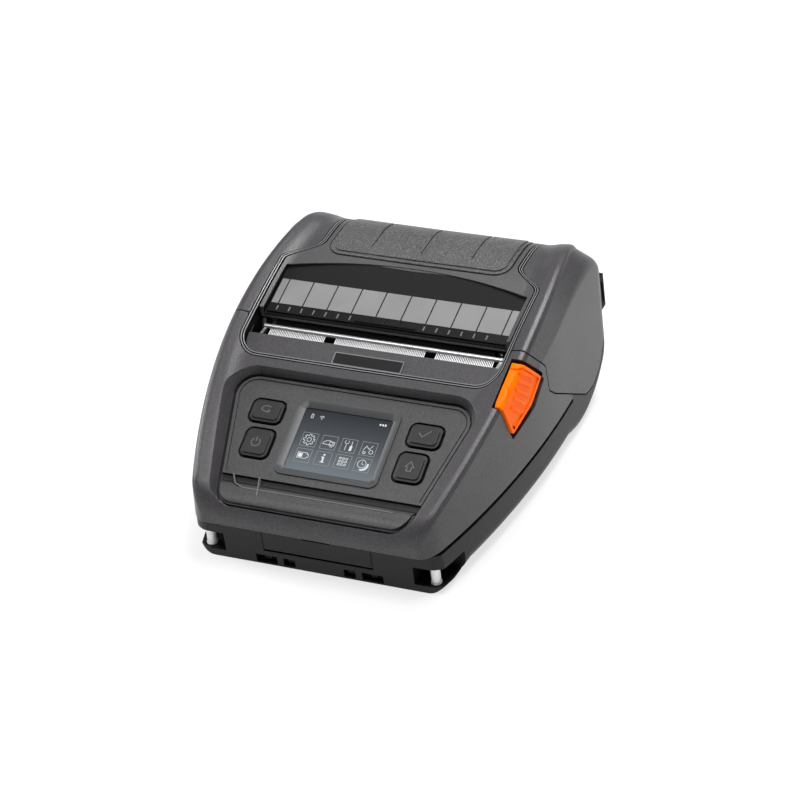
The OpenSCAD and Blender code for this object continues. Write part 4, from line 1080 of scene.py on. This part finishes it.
def key_cap(name, x, u, w, l):
    """A key with a thin skirt and a raised face."""
    cap = prism(rrect(x, u, w + SKIRT, l + SKIRT, 4), -3.15, -2.25, on_panel, name + '_cap')
    join(cap, prism(rrect(x, u, w, l, 2.6), -3.6, 0.45, on_panel))
    face = [(rrect(x, u, w - 1.9, l - 1.9, 2), 0), (rrect(x, u, w - 2.3, l - 2.3, 1.9), 1.2)]
    join(cap, stack(face, on_panel))
    bevel(cap, EDGE_ROUND, 3)
    finish_piece(cap, key_body(name), 'keys', 'key', name)
    # painted shade: the key's skirt and stem more than 1.2 mm under the panel face are black, seen through
    # the gap round the key
    tint(cap, 'black', lambda x, y, z: panel_point(x, y, z).z < -1.2)


def key_body(name):
    return name.removeprefix('key_') + '_key'


def lcd_bezel():
    """The bezel with sloped sides round the display."""
    bezel = prism(screen_outline(7.2, 4), -PANEL_T, 0.5, on_panel, 'bezel_frame')
    cut(bezel, prism(screen_outline(0, 1.2), -4, 4, on_panel))
    cut(bezel, prism(screen_outline(2, 1.6), -4, -1.1, on_panel))
    cut(bezel, stack([(screen_outline(0, 1.2), -0.8), (screen_outline(5.8, 3.3), 0.55)], on_panel))
    bevel(bezel, 0.2, 2)
    finish_piece(bezel, 'case', 'bezel', 'bezel', 'lcd_bezel')
    # painted shade: the display's sunken inner walls, more than 0.75 mm under the panel face, are black
    tint(bezel, 'black', lambda x, y, z: panel_point(x, y, z).z < -0.75)


# Printed lines and symbols
def raised_line(points, low, high, width, closed):
    """A line as a bar with four sides, closed into a loop or with a face at each end."""
    verts = []
    for (x, y), k in zip(points, mitres(points, closed, 0.5)):
        dx, dy = k.x * width / 2, k.y * width / 2
        for side, height in ((-1, low), (-1, high), (1, high), (1, low)):
            verts.append(on_panel((x + side * dx, y + side * dy, height)))
    faces = quads(len(points), 4, closed)
    end = len(verts)
    if not closed:
        faces += [(0, 1, 2, 3), (end - 1, end - 2, end - 3, end - 4)]
    return verts, faces


def inked(name, lines, low, high, width):
    """One mesh of raised lines and filled shapes on the panel: each item is (points, kind)."""
    verts, faces = [], []
    for points, kind in lines:
        if kind == 'fill':
            new_verts, new_faces = skin([(points, low), (points, high)], on_panel)
        else:
            new_verts, new_faces = raised_line(points, low, high, width, kind == 'loop')
        faces += [tuple(len(verts) + i for i in face) for face in new_faces]
        verts += new_verts
    return new_object(name, verts, faces)


def arc(cx, cy, r, a0, a1, n, ry=None):
    angles = [radians(a0 + (a1 - a0) * k / n) for k in range(n + 1)]
    return [(cx + r * cos(a), cy + (ry or r) * sin(a)) for a in angles]


def ring_of(cx, cy, r, n=20):
    return arc(cx, cy, r, 0, 360 - 360 / n, n - 1)


def box_of(cx, cy, w, h):
    return rect(cx - w / 2, cx + w / 2, cy - h / 2, cy + h / 2)


def gear_of(r):
    """A wheel with eight teeth."""
    return [(q * cos(radians(a + d)), q * sin(radians(a + d))) for a in range(0, 360, 45)
            for q, d in ((r * 0.74, -14), (r, -9), (r, 9), (r * 0.74, 14))]


def moved(lines, x, u):
    return [([(px + x, pu + u) for px, pu in points], kind) for points, kind in lines]


# Symbols, each drawn about its own middle
GEAR = [(gear_of(2.7), 'loop'), (ring_of(0, 0, 1.0, 12), 'loop')]
PRINTER = [(arc(-0.3, -0.9, 2.4, 0, 180, 12, 1.9), 'line'), ([(-2.7, -0.9), (2.1, -0.9)], 'line'),
           (box_of(1.5, -0.4, 2.2, 1.9), 'loop'), ([(0.9, -1.9), (2.1, -1.9)], 'line')]
TOOLS = [([(-1.2, -2.3), (-1.2, 1)], 'line'), (arc(-1.2, 1.8, 0.9, 130, 410, 10), 'line'),
         ([(1.3, 2.4), (1.3, 0.1)], 'line'), (box_of(1.3, -1.1, 1.1, 2.4), 'fill')]
GRAPH = [([(-2.3, -1), (-1.2, 1.4), (0.4, -0.2), (1.6, 1.9)], 'line'), (ring_of(1.5, -1.3, 0.9, 12), 'loop'),
         (box_of(-1.5, -2, 1.1, 0.9), 'loop')]
BATTERY = [([(-2.6, -1.4), (1.7, -1.4), (1.7, -0.7), (2.5, -0.7), (2.5, 0.7), (1.7, 0.7), (1.7, 1.4),
             (-2.6, 1.4)], 'loop'), (box_of(-1.3, 0, 1.9, 1.9), 'fill')]
INFO = [(ring_of(0.1, 1.9, 0.5, 10), 'fill'),
        ([(-0.9, -2), (-0.9, -1.6), (-0.35, -1.6), (-0.35, 0.4), (-0.9, 0.4), (-0.9, 0.9), (0.45, 0.9),
          (0.45, -1.6), (1, -1.6), (1, -2)], 'fill')]
GRID = [(box_of(x, u, 0.8, 0.8), 'loop') for x in (-1.5, 0, 1.5) for u in (-1.4, 0.1, 1.6)]
CLOCK = [(ring_of(-0.5, 0.5, 1.9), 'loop'), ([(-0.5, 1.6), (-0.5, 0.4), (0.4, 0.2)], 'line'),
         (arc(0.1, -0.1, 2.7, -110, 25, 10) + arc(-0.5, 0.4, 2.45, 12, -97, 10), 'fill')]
SQUARE = [(box_of(0, 0, 7, 6.6), 'loop')]
RADIO = [(arc(0, 0, 1.5, 45, 135, 6), 'line'), (arc(0, 0, 0.8, 45, 135, 5), 'line'),
         (ring_of(0, 0.1, 0.22, 8), 'fill')]
BARS = [(box_of(1.2 * k, 0, 0.7, 1.0), 'fill') for k in range(3)]
FEED = [(arc(0, 0, 2.3, 40, 310, 14, 1.4), 'line'), ([(0.7, -0.2), (1.8, -1.2), (0.4, -1.8)], 'line')]
POWER = [(arc(0, 0, 2, 125, 415, 16), 'line'), ([(0, 0.5), (0, 2.7)], 'line')]
ENTER = [([(-2.6, 0), (-0.8, -1.7), (2.6, 1.6)], 'line')]
HOME = [([(-2, 0), (0, 2.6), (2, 0), (1, 0), (1, -2), (-1, -2), (-1, 0)], 'loop')]


def display_symbols():
    """The status row and the eight menu icons, and then the dim squares round the icons."""
    ink = []
    for icons, u in zip(((GEAR, PRINTER, TOOLS, GRAPH), (BATTERY, INFO, GRID, CLOCK)), ICON_U):
        for icon, x in zip(icons, ICON_X):
            ink += moved(icon, x, u)
    ink += [(box_of(-16.6, 9.2, 0.9, 1.9), 'loop')] + moved(RADIO, -12, 8.3) + moved(BARS, 15.2, 10.1)
    finish_piece(inked('screen_symbols', ink, -1.13, -1.06, INK_W), 'case', 'display', 'ink')
    squares = [line for x in ICON_X for u in ICON_U for line in moved(SQUARE, x, u)]
    finish_piece(inked('screen_squares', squares, -1.13, -1.07, INK_W), 'case', 'display', 'ink_dim')


def key_symbols():
    marks = {'key_feed': (FEED, -37.4, 8), 'key_power': (POWER, -36.4, -8.9),
             'key_enter': (ENTER, 37.2, 8), 'key_home': (HOME, 35.9, -8.9)}
    for name, mark in marks.items():
        symbol = inked(name.removeprefix('key_') + '_symbol', moved(*mark), 1.12, 1.24, 0.42)
        finish_piece(symbol, key_body(name), 'keys', 'icon')


def accent_lines():
    """The light line along the panel's lower edge, and the short tick that crosses it."""
    route = rounded([(-40.6, -25.6), (-38.2, -30), (-34, -31.6), (36.4, -31.4)], [0, 2, 3, 0], 5)
    finish_piece(inked('accent_line', [(route, 'line')], 0.2, 1.4, 0.45), 'case', 'panel', 'line')
    tick = [(-27.9, -26), (-26, -34.6)]
    finish_piece(inked('tick_line', [(tick, 'line')], 0.0, 2.02, 0.4), 'case', 'panel', 'seal')


def name_plate():
    """The plate for a name, left bare, with a fine raised rim."""
    x, u, w, l = NAME_PLATE
    plate = prism(rrect(x, u, w, l, 0.8), 1.1, 1.5, on_panel, 'plate_blank')
    rim = prism(rrect(x, u, w, l, 0.8), 1.1, 1.6, on_panel)
    cut(rim, prism(rrect(x, u, w - 1, l - 1, 0.5), 0, 3, on_panel))
    join(plate, rim)
    bevel(plate, 0.1, 2)
    finish_piece(plate, 'case', 'bezel', 'plate', 'name_plate')
    tint(plate, 'seal', lambda x, y, z: panel_point(x, y, z).z > 1.52)


# White ground and walls
def any_ray(tree):
    """One for rays from the camera, a reflection or clear material, which all show the same white."""
    path = add(tree, 'LightPath', {})
    out = path.outputs['Is Camera Ray']
    for kind in ('Is Glossy Ray', 'Is Transmission Ray'):
        out = add(tree, 'Math', {0: out, 1: path.outputs[kind]}, operation='MAXIMUM').outputs[0]
    return out


def floor_white():
    """White that also glows a little by itself where it is seen."""
    material, tree, shader, _ = new_material('floor_white')
    feed(tree, shader, {'Base Color': (0.9, 0.9, 0.9, 1), 'Roughness': 0.9})
    glow = add(tree, 'Emission', {'Strength': 1}).outputs['Emission']
    share = add(tree, 'Math', {0: any_ray(tree), 1: 0.7}, operation='MULTIPLY').outputs[0]
    mix = add(tree, 'MixShader', {'Fac': share, 1: shader.outputs['BSDF'], 2: glow})
    feed(tree, tree.nodes['Material Output'], {'Surface': mix.outputs['Shader']})
    return material


def white_room():
    """A floor with four walls."""
    mesh = bpy.data.meshes.new('floor')
    ground = rect(-ROOM_HALF, ROOM_HALF, -ROOM_HALF, ROOM_HALF)
    mesh.from_pydata([(x, y, z) for z in (0, ROOM_H) for x, y in ground], [],
                     [(0, 1, 2, 3), (0, 1, 5, 4), (1, 2, 6, 5), (2, 3, 7, 6), (3, 0, 4, 7)])
    mesh.materials.append(floor_white())
    linked('floor', mesh)


# Light and camera
LAMPS = {
    'top': ((0.1, 0.6, 1.15), (0.6, 0.3), 14),
    'key': ((0.32, 0, 1.2), (0.4, 0.4), 9),
    'fill': ((-0.3, -0.35, 1.2), (0.4, 0.4), 5),
    'left': ((-1.1, 0.1, 0.5), (0.3, 0.5), 8),
    'right': ((1.1, -0.2, 0.4), (0.3, 0.5), 0.2),
}
LAMP_TARGET = (0, 0, 0.05)
CAMERA_AT = (0.5101, -0.9525, 0.7884)
CAMERA_AXES = Matrix(((0.91253, -0.14206, 0.38356), (0.39258, 0.56745, -0.72380),
                      (-0.11482, 0.81107, 0.57358)))
LENS, SENSOR = 134.4971, 36


def soft_sky():
    world = bpy.data.worlds.new('studio')
    bpy.context.scene.world = world
    world.use_nodes = True
    sky = world.node_tree.nodes['Background']
    sky.inputs['Color'].default_value = (1, 1, 1, 1)
    sky.inputs['Strength'].default_value = 0.2


def lamp(name, place, size, power):
    data = bpy.data.lights.new(name, 'AREA')
    data.shape = 'RECTANGLE'
    data.size, data.size_y = size
    data.energy = power
    ob = linked(name, data)
    ob.location = place
    ob.rotation_euler = (Vector(LAMP_TARGET) - Vector(place)).to_track_quat('-Z', 'Y').to_euler()


def camera():
    data = bpy.data.cameras.new('camera')
    data.lens, data.sensor_width = LENS, SENSOR
    data.clip_start, data.clip_end = 0.05, 50
    ob = linked('camera', data)
    ob.matrix_world = Matrix.Translation(CAMERA_AT) @ CAMERA_AXES.to_4x4()
    bpy.context.scene.camera = ob
    bpy.context.scene.view_settings.view_transform = 'Standard'


# The scene, piece by piece
dress_solids()
form = loft('form')
upper_housing(form)
shoulder_cover(form, -1, 'left')
shoulder_cover(form, 1, 'right')
seal_bead(form)
lower_case(form)
mouth_tray(lid_shell(form))
guide_plate()
peeler_strip()
tear_strip()
strap_pins()
grip_pad()
release_button()
control_panel()
for name, place in KEYS.items():
    key_cap(name, *place)
lcd_bezel()
display_symbols()
key_symbols()
accent_lines()
name_plate()
remove(form)
white_room()
soft_sky()
for name, (place, size, power) in LAMPS.items():
    lamp(name, place, size, power)
camera()
